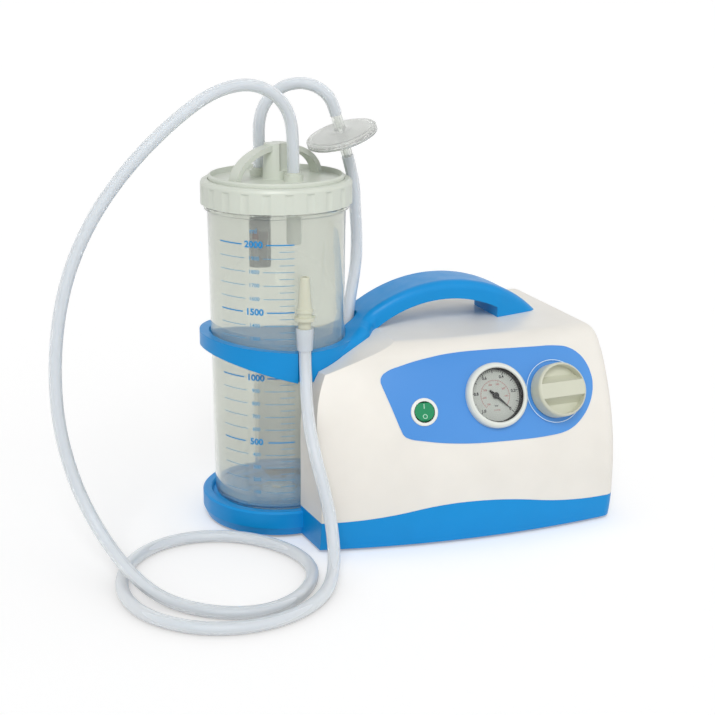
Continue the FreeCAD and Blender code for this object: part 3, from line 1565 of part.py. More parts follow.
def power_inlet():
    """Three pin mains inlet in the back of the cover"""
    half_w = inlet_width / 2
    half_h = inlet_height / 2
    front = back_y + inlet_flange_thickness
    flange = block(inlet_x - half_w - inlet_flange, inlet_x + half_w + inlet_flange, back_y, front,
                   inlet_z - half_h - inlet_flange, inlet_z + half_h + inlet_flange)
    body = block(inlet_x - half_w, inlet_x + half_w, front - inlet_depth, front,
                 inlet_z - half_h, inlet_z + half_h)
    well = block(inlet_x - half_w + 2, inlet_x + half_w - 2, front - 16, front + 1,
                 inlet_z - half_h + 2.5, inlet_z + half_h - 2.5)
    inlet = flange.fuse(body).cut(well)
    pins = []
    for x, z in ((-7.0, -2.0), (0.0, 2.0), (7.0, -2.0)):
        pins.append(block(inlet_x + x - 1.0, inlet_x + x + 1.0, front - 17, front - 3,
                          inlet_z + z - 2.0, inlet_z + z + 2.0))
    tails = [block(inlet_x + x - 3, inlet_x + x + 3, front - inlet_depth - 8, front - inlet_depth,
                   inlet_z - 0.4, inlet_z + 0.4) for x in (-8.0, 8.0)]
    return inlet.fuse(pins + tails).removeSplitter()


def exhaust_silencer():
    """Silencer can that stands on the floor beside the pump"""
    low = foot_height + base_floor
    top = low + silencer_height
    can = cylinder(silencer_radius, low, top, silencer_x, silencer_y)
    neck = cylinder(barb_radius, top, top + barb_length, silencer_x, silencer_y)
    return can.fuse(neck).removeSplitter()


parts = {
    "base_tray": base_tray,
    "rubber_feet": rubber_feet,
    "base_screws": base_screws,
    "housing_cover": housing_cover,
    "panel_label": panel_label,
    "carry_handle": carry_handle,
    "gauge_case": gauge_case,
    "gauge_dial": gauge_dial,
    "gauge_needle": gauge_needle,
    "gauge_lens": gauge_lens,
    "gauge_bezel": gauge_bezel,
    "gauge_stem": gauge_stem,
    "regulator_knob": regulator_knob,
    "regulator_spindle": regulator_spindle,
    "regulator_valve": regulator_valve,
    "switch_body": switch_body,
    "switch_rocker": switch_rocker,
    "canister_jar": canister_jar,
    "lid_ring": lid_ring,
    "lid_gasket": lid_gasket,
    "lid_plate": lid_plate,
    "float_cage": float_cage,
    "valve_float": valve_float,
    "float_cap": float_cap,
    "filter_upper_shell": lambda: filter_shell(1),
    "filter_lower_shell": lambda: filter_shell(-1),
    "filter_membrane": filter_membrane,
    "patient_hose": patient_hose,
    "filter_hose_upper": filter_hose_upper,
    "filter_hose_lower": filter_hose_lower,
    "vacuum_inlet": vacuum_inlet,
    "hose_cuff": hose_cuff,
    "hose_connector": hose_connector,
    "mounting_plate": mounting_plate,
    "rubber_mounts": rubber_mounts,
    "motor_frame": motor_frame,
    "motor_stator": motor_stator,
    "rotor_shaft": rotor_shaft,
    "bearing_front": lambda: bearing("front"),
    "bearing_rear": lambda: bearing("rear"),
    "cooling_fan": cooling_fan,
    "pump_crankcase": pump_crankcase,
    "pump_cylinder": pump_cylinder,
    "rocking_piston": rocking_piston,
    "pump_head": pump_head,
    "power_inlet": power_inlet,
    "exhaust_silencer": exhaust_silencer,
}


def main():
    os.makedirs("parts", exist_ok=True)
    low = [big] * 3
    high = [-big] * 3
    for name, make in parts.items():
        shape = make()
        if not shape.isValid():
            print("not valid:", name)
        if len(shape.Solids) != 1:
            print("solids:", name, len(shape.Solids))
        shape.exportStep("parts/" + name + ".step")
        box = shape.BoundBox
        if "hose" in name or "filter" in name:
            continue
        low = [min(low[0], box.XMin), min(low[1], box.YMin), min(low[2], box.ZMin)]
        high = [max(high[0], box.XMax), max(high[1], box.YMax), max(high[2], box.ZMax)]
    print("box without the hoses", [round(v, 2) for v in low], [round(v, 2) for v in high])
    for name, x, z in (("gauge", gauge_x, gauge_z), ("knob", knob_x, knob_z), ("switch", switch_x, switch_z)):
        place = panel_placement(x, z)
        out = place.Rotation.multVec(z_axis)
        right = place.Rotation.multVec(x_axis)
        print(name, [round(v, 3) for v in place.Base], "out", [round(v, 4) for v in out],
              "right", [round(v, 4) for v in right])


main()
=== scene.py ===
import logging
import math
from collections.abc import Iterable, Sequence
from dataclasses import dataclass, field
from enum import Enum

import bmesh
import bpy
from mathutils import Matrix, Vector
from mathutils.geometry import convex_hull_2d


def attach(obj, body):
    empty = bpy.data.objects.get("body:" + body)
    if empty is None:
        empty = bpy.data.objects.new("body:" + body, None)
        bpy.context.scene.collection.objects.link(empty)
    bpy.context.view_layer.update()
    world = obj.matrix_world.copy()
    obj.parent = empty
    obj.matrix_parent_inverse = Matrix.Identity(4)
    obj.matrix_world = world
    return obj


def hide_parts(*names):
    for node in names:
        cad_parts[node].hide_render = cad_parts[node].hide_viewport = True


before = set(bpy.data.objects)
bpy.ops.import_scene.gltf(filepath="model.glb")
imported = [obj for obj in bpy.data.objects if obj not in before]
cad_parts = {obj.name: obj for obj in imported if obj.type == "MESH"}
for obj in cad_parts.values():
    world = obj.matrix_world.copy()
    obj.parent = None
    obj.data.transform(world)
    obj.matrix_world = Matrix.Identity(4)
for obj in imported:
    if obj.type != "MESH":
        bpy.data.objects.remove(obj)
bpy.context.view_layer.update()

LOG = logging.getLogger("suction_unit")
Colour = tuple[float, float, float]
Point = tuple[float, float, float]
Pair = tuple[float, float]
Socket = bpy.types.NodeSocket

CREASE = math.radians(40)  # edges that turn more are shaded sharp
MERGE = 1e-7  # corners closer than this become one, in metres
WELD = 1e-6  # the same for turned and copied meshes
CUT = 1e-8  # corners closer than this to a cut count as on it
FULL_TURN = 360.0
WEAK, STRONG = 0.3, 0.7  # where a pattern counts as weak and as strong
BAND_SCALE = 0.314  # scale of a wave texture whose bands are a metre wide
BAND_WAVER = 0.4  # how far the bands waver


class Axis(Enum):
    """Direction that a brushed or wound finish runs in."""

    X = 0
    Y = 1
    Z = 2


class Clarity(Enum):
    """How much a clear plastic scatters what is seen through it."""

    CRYSTAL = 0.02
    FROSTED = 0.22
    MILKY = 0.42


@dataclass(frozen=True)
class Grain:
    """A noise pattern, with what it adds to a value, or multiplies it by, where weak and strong.

    The size is in metres, and the detail in octaves of finer noise.
    """

    size: float
    detail: float
    weak: float = 0.0
    strong: float = 0.0


class Shader:
    """A material's node tree round one principled shader, on object coordinates."""

    def __init__(self, name: str) -> None:
        """Start an empty finish.

        Args:
            name: Name of the finish.
        """
        self.material = bpy.data.materials.new(name)
        self.material.use_nodes = True
        self.tree = self.material.node_tree
        self.surface = self.tree.nodes["Principled BSDF"]
        self.place = self.node("ShaderNodeTexCoord").outputs["Object"]

    def node(self, kind: str) -> bpy.types.Node:
        """Return a new node of a kind."""
        return self.tree.nodes.new(kind)

    def join(self, start: Socket, end: Socket) -> None:
        """Link two sockets."""
        self.tree.links.new(start, end)

    def put(self, **values: float | Colour) -> None:
        """Set the shader's own sockets.

        Args:
            values: Socket names in small letters with underscores, and their values.
        """
        for name, value in values.items():
            socket = self.surface.inputs[name.replace("_", " ").title().replace("Ior", "IOR")]
            socket.default_value = (*value, 1.0) if socket.type == "RGBA" else value

    def noise(self, grain: Grain, stretch: Point = (1.0, 1.0, 1.0)) -> Socket:
        """Add a noise pattern.

        Args:
            grain: The pattern.
            stretch: How much denser it is along each axis.

        Returns:
            The pattern's strength.
        """
        turned = self.node("ShaderNodeMapping")
        turned.inputs["Scale"].default_value = stretch
        self.join(self.place, turned.inputs["Vector"])
        pattern = self.node("ShaderNodeTexNoise")
        pattern.inputs["Scale"].default_value = 1.0 / grain.size
        pattern.inputs["Detail"].default_value = grain.detail
        self.join(turned.outputs["Vector"], pattern.inputs["Vector"])
        return pattern.outputs["Fac"]

    def bands(self, pitch: float, axis: Axis) -> Socket:
        """Add even bands across an axis.

        Args:
            pitch: Width of a band in metres.
            axis: Axis that the bands follow one another along.

        Returns:
            The bands' strength.
        """
        wave = self.node("ShaderNodeTexWave")
        wave.bands_direction = axis.name
        wave.inputs["Scale"].default_value = BAND_SCALE / pitch
        wave.inputs["Distortion"].default_value = BAND_WAVER
        self.join(self.place, wave.inputs["Vector"])
        return wave.outputs["Fac"]

    def mottle(self, strength: Socket, low: Colour, high: Colour) -> None:
        """Colour the surface between two shades by a pattern.

        Args:
            strength: The pattern.
            low: Shade where it is weak.
            high: Shade where it is strong.
        """
        ramp = self.node("ShaderNodeValToRGB")
        ramp.color_ramp.elements[0].position = WEAK
        ramp.color_ramp.elements[1].position = STRONG
        ramp.color_ramp.elements[0].color = (*low, 1.0)
        ramp.color_ramp.elements[1].color = (*high, 1.0)
        self.join(strength, ramp.inputs["Fac"])
        self.join(ramp.outputs["Color"], self.surface.inputs["Base Color"])

    def gloss(self, strength: Socket, low: float, high: float) -> None:
        """Vary the roughness between two values by a pattern.

        Args:
            strength: The pattern.
            low: Roughness where it is weak.
            high: Roughness where it is strong.
        """
        spread = self.node("ShaderNodeMapRange")
        spread.inputs["From Min"].default_value = WEAK
        spread.inputs["From Max"].default_value = STRONG
        spread.inputs["To Min"].default_value = low
        spread.inputs["To Max"].default_value = high
        self.join(strength, spread.inputs["Value"])
        self.join(spread.outputs["Result"], self.surface.inputs["Roughness"])

    def tone(self, grain: Grain, colour: Colour) -> None:
        """Colour the surface in shades of a colour, made by a pattern's factors."""
        self.mottle(self.noise(grain), shade(colour, grain.weak), shade(colour, grain.strong))

    def wear(self, grain: Grain, roughness: float) -> None:
        """Vary a roughness by what a pattern adds to it."""
        self.gloss(self.noise(grain), roughness + grain.weak, roughness + grain.strong)

    def spread(self, weight: float, radius: Point, scale: float) -> None:
        """Let light spread below the surface, where the weight is more than nought."""
        if weight:
            self.put(subsurface_weight=weight, subsurface_radius=radius, subsurface_scale=scale)

    def let_light_through(self, share: float) -> None:
        """Let rays towards lamps and rays from dull surfaces pass, so that what is behind is lit.

        Args:
            share: Share of the light that passes.
        """
        path = self.node("ShaderNodeLightPath")
        straight = self.node("ShaderNodeBsdfTransparent")
        straight.inputs["Color"].default_value = (share, share, share, 1.0)
        either = self.node("ShaderNodeMath")
        either.operation = "MAXIMUM"
        self.join(path.outputs["Is Shadow Ray"], either.inputs[0])
        self.join(path.outputs["Is Diffuse Ray"], either.inputs[1])
        blend = self.node("ShaderNodeMixShader")
        self.join(either.outputs["Value"], blend.inputs["Fac"])
        self.join(self.surface.outputs["BSDF"], blend.inputs[1])
        self.join(straight.outputs["BSDF"], blend.inputs[2])
        output = next(node for node in self.tree.nodes if node.type == "OUTPUT_MATERIAL")
        self.join(blend.outputs["Shader"], output.inputs["Surface"])

    def relief(self, strength: Socket, depth: float, rounding: float = 0.0) -> None:
        """Raise and sink the surface by a pattern, and soften its edges.

        Args:
            strength: The pattern.
            depth: Height of the relief in metres.
            rounding: Radius that sharp edges are shaded with, in metres.
        """
        bump = self.node("ShaderNodeBump")
        bump.inputs["Distance"].default_value = depth
        self.join(strength, bump.inputs["Height"])
        if rounding:
            soft = self.node("ShaderNodeBevel")
            soft.samples = 4
            soft.inputs["Radius"].default_value = rounding
            self.join(soft.outputs["Normal"], bump.inputs["Normal"])
        self.join(bump.outputs["Normal"], self.surface.inputs["Normal"])


def shade(colour: Colour, factor: float) -> Colour:
    """Return a colour made lighter or darker by a factor."""
    return tuple(min(1.0, part * factor) for part in colour)


@dataclass(frozen=True)
class Finish:
    """How the surface of a kind of material looks."""

    name: str

    def paint(self, shader: Shader) -> None:
        """Set up a shader, which each kind of finish does in its own way."""
        raise NotImplementedError

    def make(self) -> bpy.types.Material:
        """Build the finish.

        Returns:
            Its material.
        """
        shader = Shader(self.name)
        self.paint(shader)
        return shader.material


@dataclass(frozen=True)
class Moulded(Finish):
    """Moulded opaque plastic with a spark-eroded grain and faint flow marks."""

    colour: Colour
    roughness: float = 0.36
    grain: float = 0.00002
    rounding: float = 0.0006
    scatter: float = 0.0
    gleam: float = 0.5
    depths: Point = (0.6, 0.5, 0.4)
    reach: float = 0.004
    flow: Grain = Grain(0.045, 3.0, 0.97, 1.03)
    sheen: Grain = Grain(0.012, 4.0, -0.05, 0.06)
    pits: Grain = Grain(0.0005, 2.0)

    def paint(self, shader: Shader) -> None:
        """Give the finish to a shader.

        Args:
            shader: The shader.
        """
        shader.put(roughness=self.roughness, specular_ior_level=self.gleam)
        shader.spread(self.scatter, self.depths, self.reach)
        shader.tone(self.flow, self.colour)
        shader.wear(self.sheen, self.roughness)
        shader.relief(shader.noise(self.pits), self.grain, self.rounding)


@dataclass(frozen=True)
class Clear(Finish):
    """Clear or milky plastic, with moulding waves and fine handling marks."""

    tint: Colour
    clarity: Clarity = Clarity.CRYSTAL
    transmission: float = 1.0
    ior: float = 1.49
    lamps: float = 0.85
    scatter: float = 0.0
    depths: Point = (0.8, 0.9, 1.0)
    reach: float = 0.006
    flow: Grain = Grain(0.06, 2.0, 0.985, 1.0)
    sheen: Grain = Grain(0.02, 5.0, 0.0, 0.05)
    waves: Grain = Grain(0.02, 2.0)
    wave_depth: float = 0.00003

    def paint(self, shader: Shader) -> None:
        """Give the finish to a shader.

        Args:
            shader: The shader.
        """
        shader.put(transmission_weight=self.transmission, ior=self.ior)
        shader.spread(self.scatter, self.depths, self.reach)
        shader.tone(self.flow, self.tint)
        shader.wear(self.sheen, self.clarity.value)
        shader.relief(shader.noise(self.waves), self.wave_depth)
        shader.let_light_through(self.lamps)


@dataclass(frozen=True)
class Metal(Finish):
    """Metal with brushing or turning marks along an axis."""

    colour: Colour
    roughness: float = 0.3
    axis: Axis = Axis.X
    stretch: float = 0.04
    tones: Grain = Grain(0.02, 4.0, 0.88, 1.05)
    marks: Grain = Grain(0.0006, 3.0, -0.06, 0.12)
    mark_depth: float = 0.00002
    rounding: float = 0.0004

    def paint(self, shader: Shader) -> None:
        """Give the finish to a shader.

        Args:
            shader: The shader.
        """
        shader.put(metallic=1.0)
        stretch = tuple(self.stretch if axis is self.axis else 1.0 for axis in Axis)
        marks = shader.noise(self.marks, stretch)
        shader.tone(self.tones, self.colour)
        shader.gloss(marks, self.roughness + self.marks.weak, self.roughness + self.marks.strong)
        shader.relief(marks, self.mark_depth, self.rounding)


@dataclass(frozen=True)
class Wound(Finish):
    """Lacquered windings or stacked sheets, seen as even bands."""

    dark: Colour
    light: Colour
    pitch: float
    axis: Axis
    metallic: float = 0.7
    roughness: float = 0.3
    sheen: Grain = Grain(0.004, 3.0, 0.0, 0.2)
    depth: float = 0.0002

    def paint(self, shader: Shader) -> None:
        """Give the finish to a shader.

        Args:
            shader: The shader.
        """
        shader.put(metallic=self.metallic)
        rows = shader.bands(self.pitch, self.axis)
        shader.mottle(rows, self.dark, self.light)
        shader.wear(self.sheen, self.roughness)
        shader.relief(rows, self.depth)


@dataclass(frozen=True)
class Rubber(Finish):
    """Rubber with a dusty bloom."""

    colour: Colour
    roughness: float = 0.7
    gleam: float = 0.3
    bloom: Grain = Grain(0.008, 5.0, 0.8, 1.25)
    sheen: Grain = Grain(0.003, 3.0, -0.1, 0.1)
    pits: Grain = Grain(0.0004, 3.0)
    pit_depth: float = 0.00004
    rounding: float = 0.0004

    def paint(self, shader: Shader) -> None:
        """Give the finish to a shader.

        Args:
            shader: The shader.
        """
        shader.put(specular_ior_level=self.gleam)
        shader.tone(self.bloom, self.colour)
        shader.wear(self.sheen, self.roughness)
        shader.relief(shader.noise(self.pits), self.pit_depth, self.rounding)


@dataclass(frozen=True)
class Ink(Finish):
    """Printed ink, a little uneven in its cover."""

    colour: Colour
    roughness: float = 0.4
    cover: Grain = Grain(0.001, 4.0, 0.92, 1.08)
    sheen: Grain = Grain(0.002, 2.0, 0.0, 0.15)

    def paint(self, shader: Shader) -> None:
        """Give the finish to a shader.

        Args:
            shader: The shader.
        """
        shader.tone(self.cover, self.colour)
        shader.wear(self.sheen, self.roughness)


@dataclass(frozen=True)
class Film(Finish):
    """Printed film with a fine texture, in two shades that run into each other."""

    colour: Colour
    light: Colour
    roughness: float = 0.3
    gleam: float = 0.45
    clouds: Grain = Grain(0.16, 1.0)
    sheen: Grain = Grain(0.004, 3.0, 0.0, 0.08)
    texture: Grain = Grain(0.0003, 2.0)
    texture_depth: float = 0.00001

    def paint(self, shader: Shader) -> None:
        """Give the finish to a shader.

        Args:
            shader: The shader.
        """
        shader.put(specular_ior_level=self.gleam)
        shader.mottle(shader.noise(self.clouds), self.colour, self.light)
        shader.wear(self.sheen, self.roughness)
        shader.relief(shader.noise(self.texture), self.texture_depth)


FINISHES: dict[str, Finish] = {
    finish.name: finish
    for finish in (
        Moulded("blue_plastic", (0.0, 0.275, 0.68), 0.36, gleam=0.3),
        Moulded("white_plastic", (0.84, 0.81, 0.75), 0.33, 0.000012, scatter=0.05),
        Film("label_film", (0.055, 0.262, 0.69), (0.078, 0.30, 0.74)),
        Moulded("knob_plastic", (0.62, 0.63, 0.51), 0.42, rounding=0.0009),
        Moulded("lid_plastic", (0.67, 0.71, 0.63), 0.34, scatter=0.08),
        Moulded("bezel_white", (0.76, 0.79, 0.74), 0.18, 0.000006),
        Moulded("switch_white", (0.84, 0.85, 0.81), 0.25, 0.000006),
        Moulded("black_plastic", (0.016, 0.016, 0.018), 0.42),
        # dial face: its own pale colour, painted darker as painted shade for the well behind the
        # lens
        Moulded("dial_face", (0.66, 0.69, 0.635), 0.5, 0.000004, 0.0),
        Moulded("needle_black", (0.012, 0.012, 0.012), 0.45, 0.000004, 0.0002),
        Moulded("green_lamp", (0.002, 0.26, 0.10), 0.2, 0.000004, gleam=0.4),
        Moulded("connector_plastic", (0.66, 0.67, 0.54), 0.34, rounding=0.00015,
                scatter=0.2),
        Moulded("red_rubber", (0.14, 0.008, 0.006), 0.5),
        Moulded("float_plastic", (0.30, 0.32, 0.31), 0.4),
        Clear("clear_jar", (0.80, 0.82, 0.765), transmission=0.87, lamps=1.0),
        Clear("clear_lens", (0.98, 0.99, 0.99), ior=1.22),
        Clear("cage_plastic", (0.30, 0.33, 0.33), Clarity.FROSTED, 0.8),
        Clear("filter_plastic", (0.94, 0.96, 0.93), Clarity.FROSTED, 0.85),
        Clear("silicone", (0.80, 0.86, 0.92), Clarity.MILKY, 0.3, 1.41, 0.6, 0.35),
        Clear("cuff_plastic", (0.76, 0.84, 0.93), Clarity.MILKY, 0.3, 1.45, 0.6, 0.35),
        Moulded("membrane", (0.86, 0.87, 0.85), 0.7, 0.00002, 0.0),
        Rubber("black_rubber", (0.022, 0.022, 0.022)),
        Metal("steel", (0.60, 0.60, 0.61), 0.32),
        Metal("brass_fitting", (0.72, 0.50, 0.21), 0.3),
        Metal("motor_alloy", (0.52, 0.53, 0.54), 0.42, Axis.Y),
        Wound("windings", (0.18, 0.05, 0.02), (0.55, 0.22, 0.08), 0.0008, Axis.X),
        Ink("scale_blue", (0.0, 0.25, 0.60)),
        Ink("scale_pale", (0.08, 0.32, 0.56)),
        Ink("dial_black", (0.02, 0.02, 0.022)),
        Ink("dial_red", (0.50, 0.20, 0.18)),
        Ink("pale_line", (0.62, 0.79, 0.96)),
        Ink("rocker_white", (0.42, 0.70, 0.53)),
    )
}

WEARERS: dict[str, str] = {
    "blue_plastic": "base_tray carry_handle",
    "black_rubber": "rubber_feet lid_gasket rubber_mounts",
    "steel": "base_screws regulator_spindle mounting_plate rotor_shaft bearing_front bearing_rear",
    "white_plastic": "housing_cover",
    "label_film": "panel_label",
    "black_plastic": "gauge_case vacuum_inlet cooling_fan power_inlet exhaust_silencer",
    "dial_face": "gauge_dial",
    "needle_black": "gauge_needle",
    "clear_lens": "gauge_lens",
    "bezel_white": "gauge_bezel",
    "brass_fitting": "gauge_stem regulator_valve",
    "knob_plastic": "regulator_knob",
    "switch_white": "switch_body",
    "green_lamp": "switch_rocker",
    "clear_jar": "canister_jar",
    "lid_plastic": "lid_ring lid_plate",
    "cage_plastic": "float_cage",
    "float_plastic": "valve_float",
    "red_rubber": "float_cap",
    "filter_plastic": "filter_upper_shell filter_lower_shell",
    "membrane": "filter_membrane",
    "silicone": "patient_hose filter_hose_upper filter_hose_lower",
    "cuff_plastic": "hose_cuff",
    "connector_plastic": "hose_connector",
    "motor_alloy": "motor_frame pump_crankcase pump_cylinder rocking_piston pump_head",
    "windings": "motor_stator",
}
NODE_FINISHES: dict[str, str] = {
    node: finish for finish, nodes in WEARERS.items() for node in nodes.split()}


class Wardrobe:
    """Makes each finish once and puts it on pieces."""

    def __init__(self) -> None:
        """Start with no finish made."""
        self.made: dict[str, bpy.types.Material] = {}

    def get(self, name: str) -> bpy.types.Material:
        """Find a finish, and make it at its first use.

        Args:
            name: Name of the finish.

        Returns:
            Its material.
        """
        if name not in self.made:
            self.made[name] = FINISHES[name].make()
        return self.made[name]

    def dress(self, piece: bpy.types.Object, name: str) -> None:
        """Put a finish in every slot of a piece.

        Args:
            piece: A CAD node or a piece of the scene.
            name: Name of the finish.
        """
        if not piece.material_slots:
            piece.data.materials.append(None)
        for slot in piece.material_slots:
            slot.material = self.get(name)


WARDROBE = Wardrobe()


def stand(name: str, data: bpy.types.ID) -> bpy.types.Object:
    """Put an object in the scene.

    Args:
        name: Its name.
        data: Its mesh, curve, camera or lamp.

    Returns:
        The object.
    """
    thing = bpy.data.objects.new(name, data)
    bpy.context.scene.collection.objects.link(thing)
    return thing


def settle(name: str, shape: bmesh.types.BMesh, finish: str, body: str,
           smooth: bool = True) -> bpy.types.Object:
    """Turn a finished bmesh into a piece that rides on a body.

    Args:
        name: Name of the piece.
        shape: Its mesh in the part's frame, in metres; freed here.
        finish: Name of its finish.
        body: CAD body that carries it.
        smooth: Whether its faces are shaded as curved.

    Returns:
        The piece.
    """
    bmesh.ops.remove_doubles(shape, verts=shape.verts, dist=MERGE)
    bmesh.ops.recalc_face_normals(shape, faces=shape.faces)
    for face in shape.faces:
        face.smooth = smooth
    for edge in shape.edges:
        edge.smooth = edge.calc_face_angle(0.0) < CREASE
    mesh = bpy.data.meshes.new(name)
    shape.to_mesh(mesh)
    shape.free()
    piece = stand(name, mesh)
    WARDROBE.dress(piece, finish)
    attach(piece, body)
    LOG.info("%s: %d faces on %s", name, len(mesh.polygons), body)
    return piece


def lathe(profile: Sequence[Pair], centre: Pair, steps: int) -> bmesh.types.BMesh:
    """Turn a closed or pole-to-pole profile about an upright axis.

    Args:
        profile: (radius, height) points, in metres.
        centre: Place of the axis.
        steps: Number of flats in a full turn.

    Returns:
        The turned mesh.
    """
    shape = bmesh.new()
    corners = [shape.verts.new((centre[0] + r, centre[1], z)) for r, z in profile]
    edges = [shape.edges.new(ends) for ends in zip(corners, corners[1:])]
    bmesh.ops.spin(shape, geom=corners + edges, cent=(*centre, 0.0), axis=(0, 0, 1),
                   angle=math.tau, steps=steps, use_merge=True)
    bmesh.ops.remove_doubles(shape, verts=shape.verts, dist=WELD)
    bmesh.ops.recalc_face_normals(shape, faces=shape.faces)
    return shape


@dataclass
class Print:
    """Flat signs and strokes that are collected in one mesh, then laid on a surface."""

    thickness: float = 0.00006
    facet: float = 0.0015
    arc_facet: float = 3.0
    least_facets: int = 8
    shape: bmesh.types.BMesh = field(default_factory=bmesh.new)

    def add(self, mesh: bpy.types.Mesh, place: Matrix) -> None:
        """Add a mesh at a place and drop it.

        Args:
            mesh: Mesh about its own origin.
            place: Where it goes on the flat print.
        """
        mesh.transform(place)
        self.shape.from_mesh(mesh)
        bpy.data.meshes.remove(mesh)

    def sign(self, text: str, height: float, place: Matrix, weight: float = 0.0) -> None:
        """Add letters or digits, centred.

        Args:
            text: What is printed.
            height: Size of the type, in metres.
            place: Where the middle of the line goes.
            weight: How much the strokes are fattened, as a share of the height.
        """
        curve = bpy.data.curves.new("sign", "FONT")
        curve.body = text
        curve.size = height
        curve.extrude = self.thickness / 2
        curve.offset = weight * height
        curve.resolution_u = 3
        curve.align_x = "CENTER"
        curve.align_y = "CENTER"
        holder = bpy.data.objects.new("sign", curve)
        mesh = bpy.data.meshes.new_from_object(holder)
        bpy.data.objects.remove(holder)
        bpy.data.curves.remove(curve)
        self.add(mesh, place)

    def stroke(self, length: float, width: float, place: Matrix) -> None:
        """Add a straight line, centred and along X.

        Args:
            length: Length of the line.
            width: Width of the line.
            place: Where its middle goes.
        """
        bar = bmesh.new()
        size = Matrix.Diagonal((length, width, self.thickness, 1.0))
        bmesh.ops.create_cube(bar, size=1.0, matrix=size)
        mesh = bpy.data.meshes.new("stroke")
        bar.to_mesh(mesh)
        bar.free()
        self.add(mesh, place)

    def band(self, radius: float, width: float, start: float, end: float, place: Matrix) -> None:
        """Add part of a thin ring.

        Args:
            radius: Middle radius of the band.
            width: Width of the band.
            start: Angle that it starts at, in degrees from X.
            end: Angle that it ends at.
            place: Where its centre goes.
        """
        ring = bmesh.new()
        half, deep = width / 2, self.thickness / 2
        turn = Matrix.Rotation(math.radians(start), 3, "Z")
        corners = [ring.verts.new(turn @ Vector((radius + x, 0.0, z)))
                   for x, z in ((-half, -deep), (half, -deep), (half, deep), (-half, deep))]
        face = ring.faces.new(corners)
        steps = max(self.least_facets, int((end - start) / self.arc_facet))
        geometry = [*face.verts, *face.edges, face]
        full = end - start >= FULL_TURN
        if full:
            ring.faces.remove(geometry.pop())
        bmesh.ops.spin(ring, geom=geometry, cent=(0, 0, 0), axis=(0, 0, 1),
                       angle=math.radians(end - start), steps=steps, use_merge=full)
        bmesh.ops.remove_doubles(ring, verts=ring.verts, dist=MERGE)
        mesh = bpy.data.meshes.new("band")
        ring.to_mesh(mesh)
        ring.free()
        self.add(mesh, place)

    def lay(self, name: str, surface: Matrix, finish: str, body: str) -> None:
        """Lay the print on a flat surface.

        Args:
            name: Name of the piece.
            surface: The surface's frame: X right, Y up and Z out.
            finish: Name of the ink.
            body: CAD body that carries it.
        """
        bmesh.ops.transform(self.shape, matrix=surface, verts=self.shape.verts)
        settle(name, self.shape, finish, body, smooth=False)

    def wrap(self, name: str, jar: "Jar", finish: str, body: str) -> None:
        """Wrap the print round the jar: X runs round it, Y is the height and Z is out.

        Args:
            name: Name of the piece.
            jar: The jar that it is printed on.
            finish: Name of the ink.
            body: CAD body that carries it.
        """
        low = min(vert.co.x for vert in self.shape.verts)
        high = max(vert.co.x for vert in self.shape.verts)
        for index in range(1, int((high - low) / self.facet) + 1):
            everything = [*self.shape.verts, *self.shape.edges, *self.shape.faces]
            bmesh.ops.bisect_plane(self.shape, geom=everything, dist=CUT,
                                   plane_co=(low + index * self.facet, 0, 0), plane_no=(1, 0, 0))
        for vert in self.shape.verts:
            radius = jar.outer_radius(vert.co.y)
            angle = vert.co.x / jar.bottom_radius
            out = radius + vert.co.z + self.thickness / 2
            vert.co = (jar.centre[0] + out * math.cos(angle),
                       jar.centre[1] + out * math.sin(angle), vert.co.y)
        settle(name, self.shape, finish, body, smooth=False)


@dataclass(frozen=True)
class Mark:
    """A kind of numbered line on the jar: half the number's gap, the line, and the type."""

    gap: float
    line: float
    height: float
    weight: float


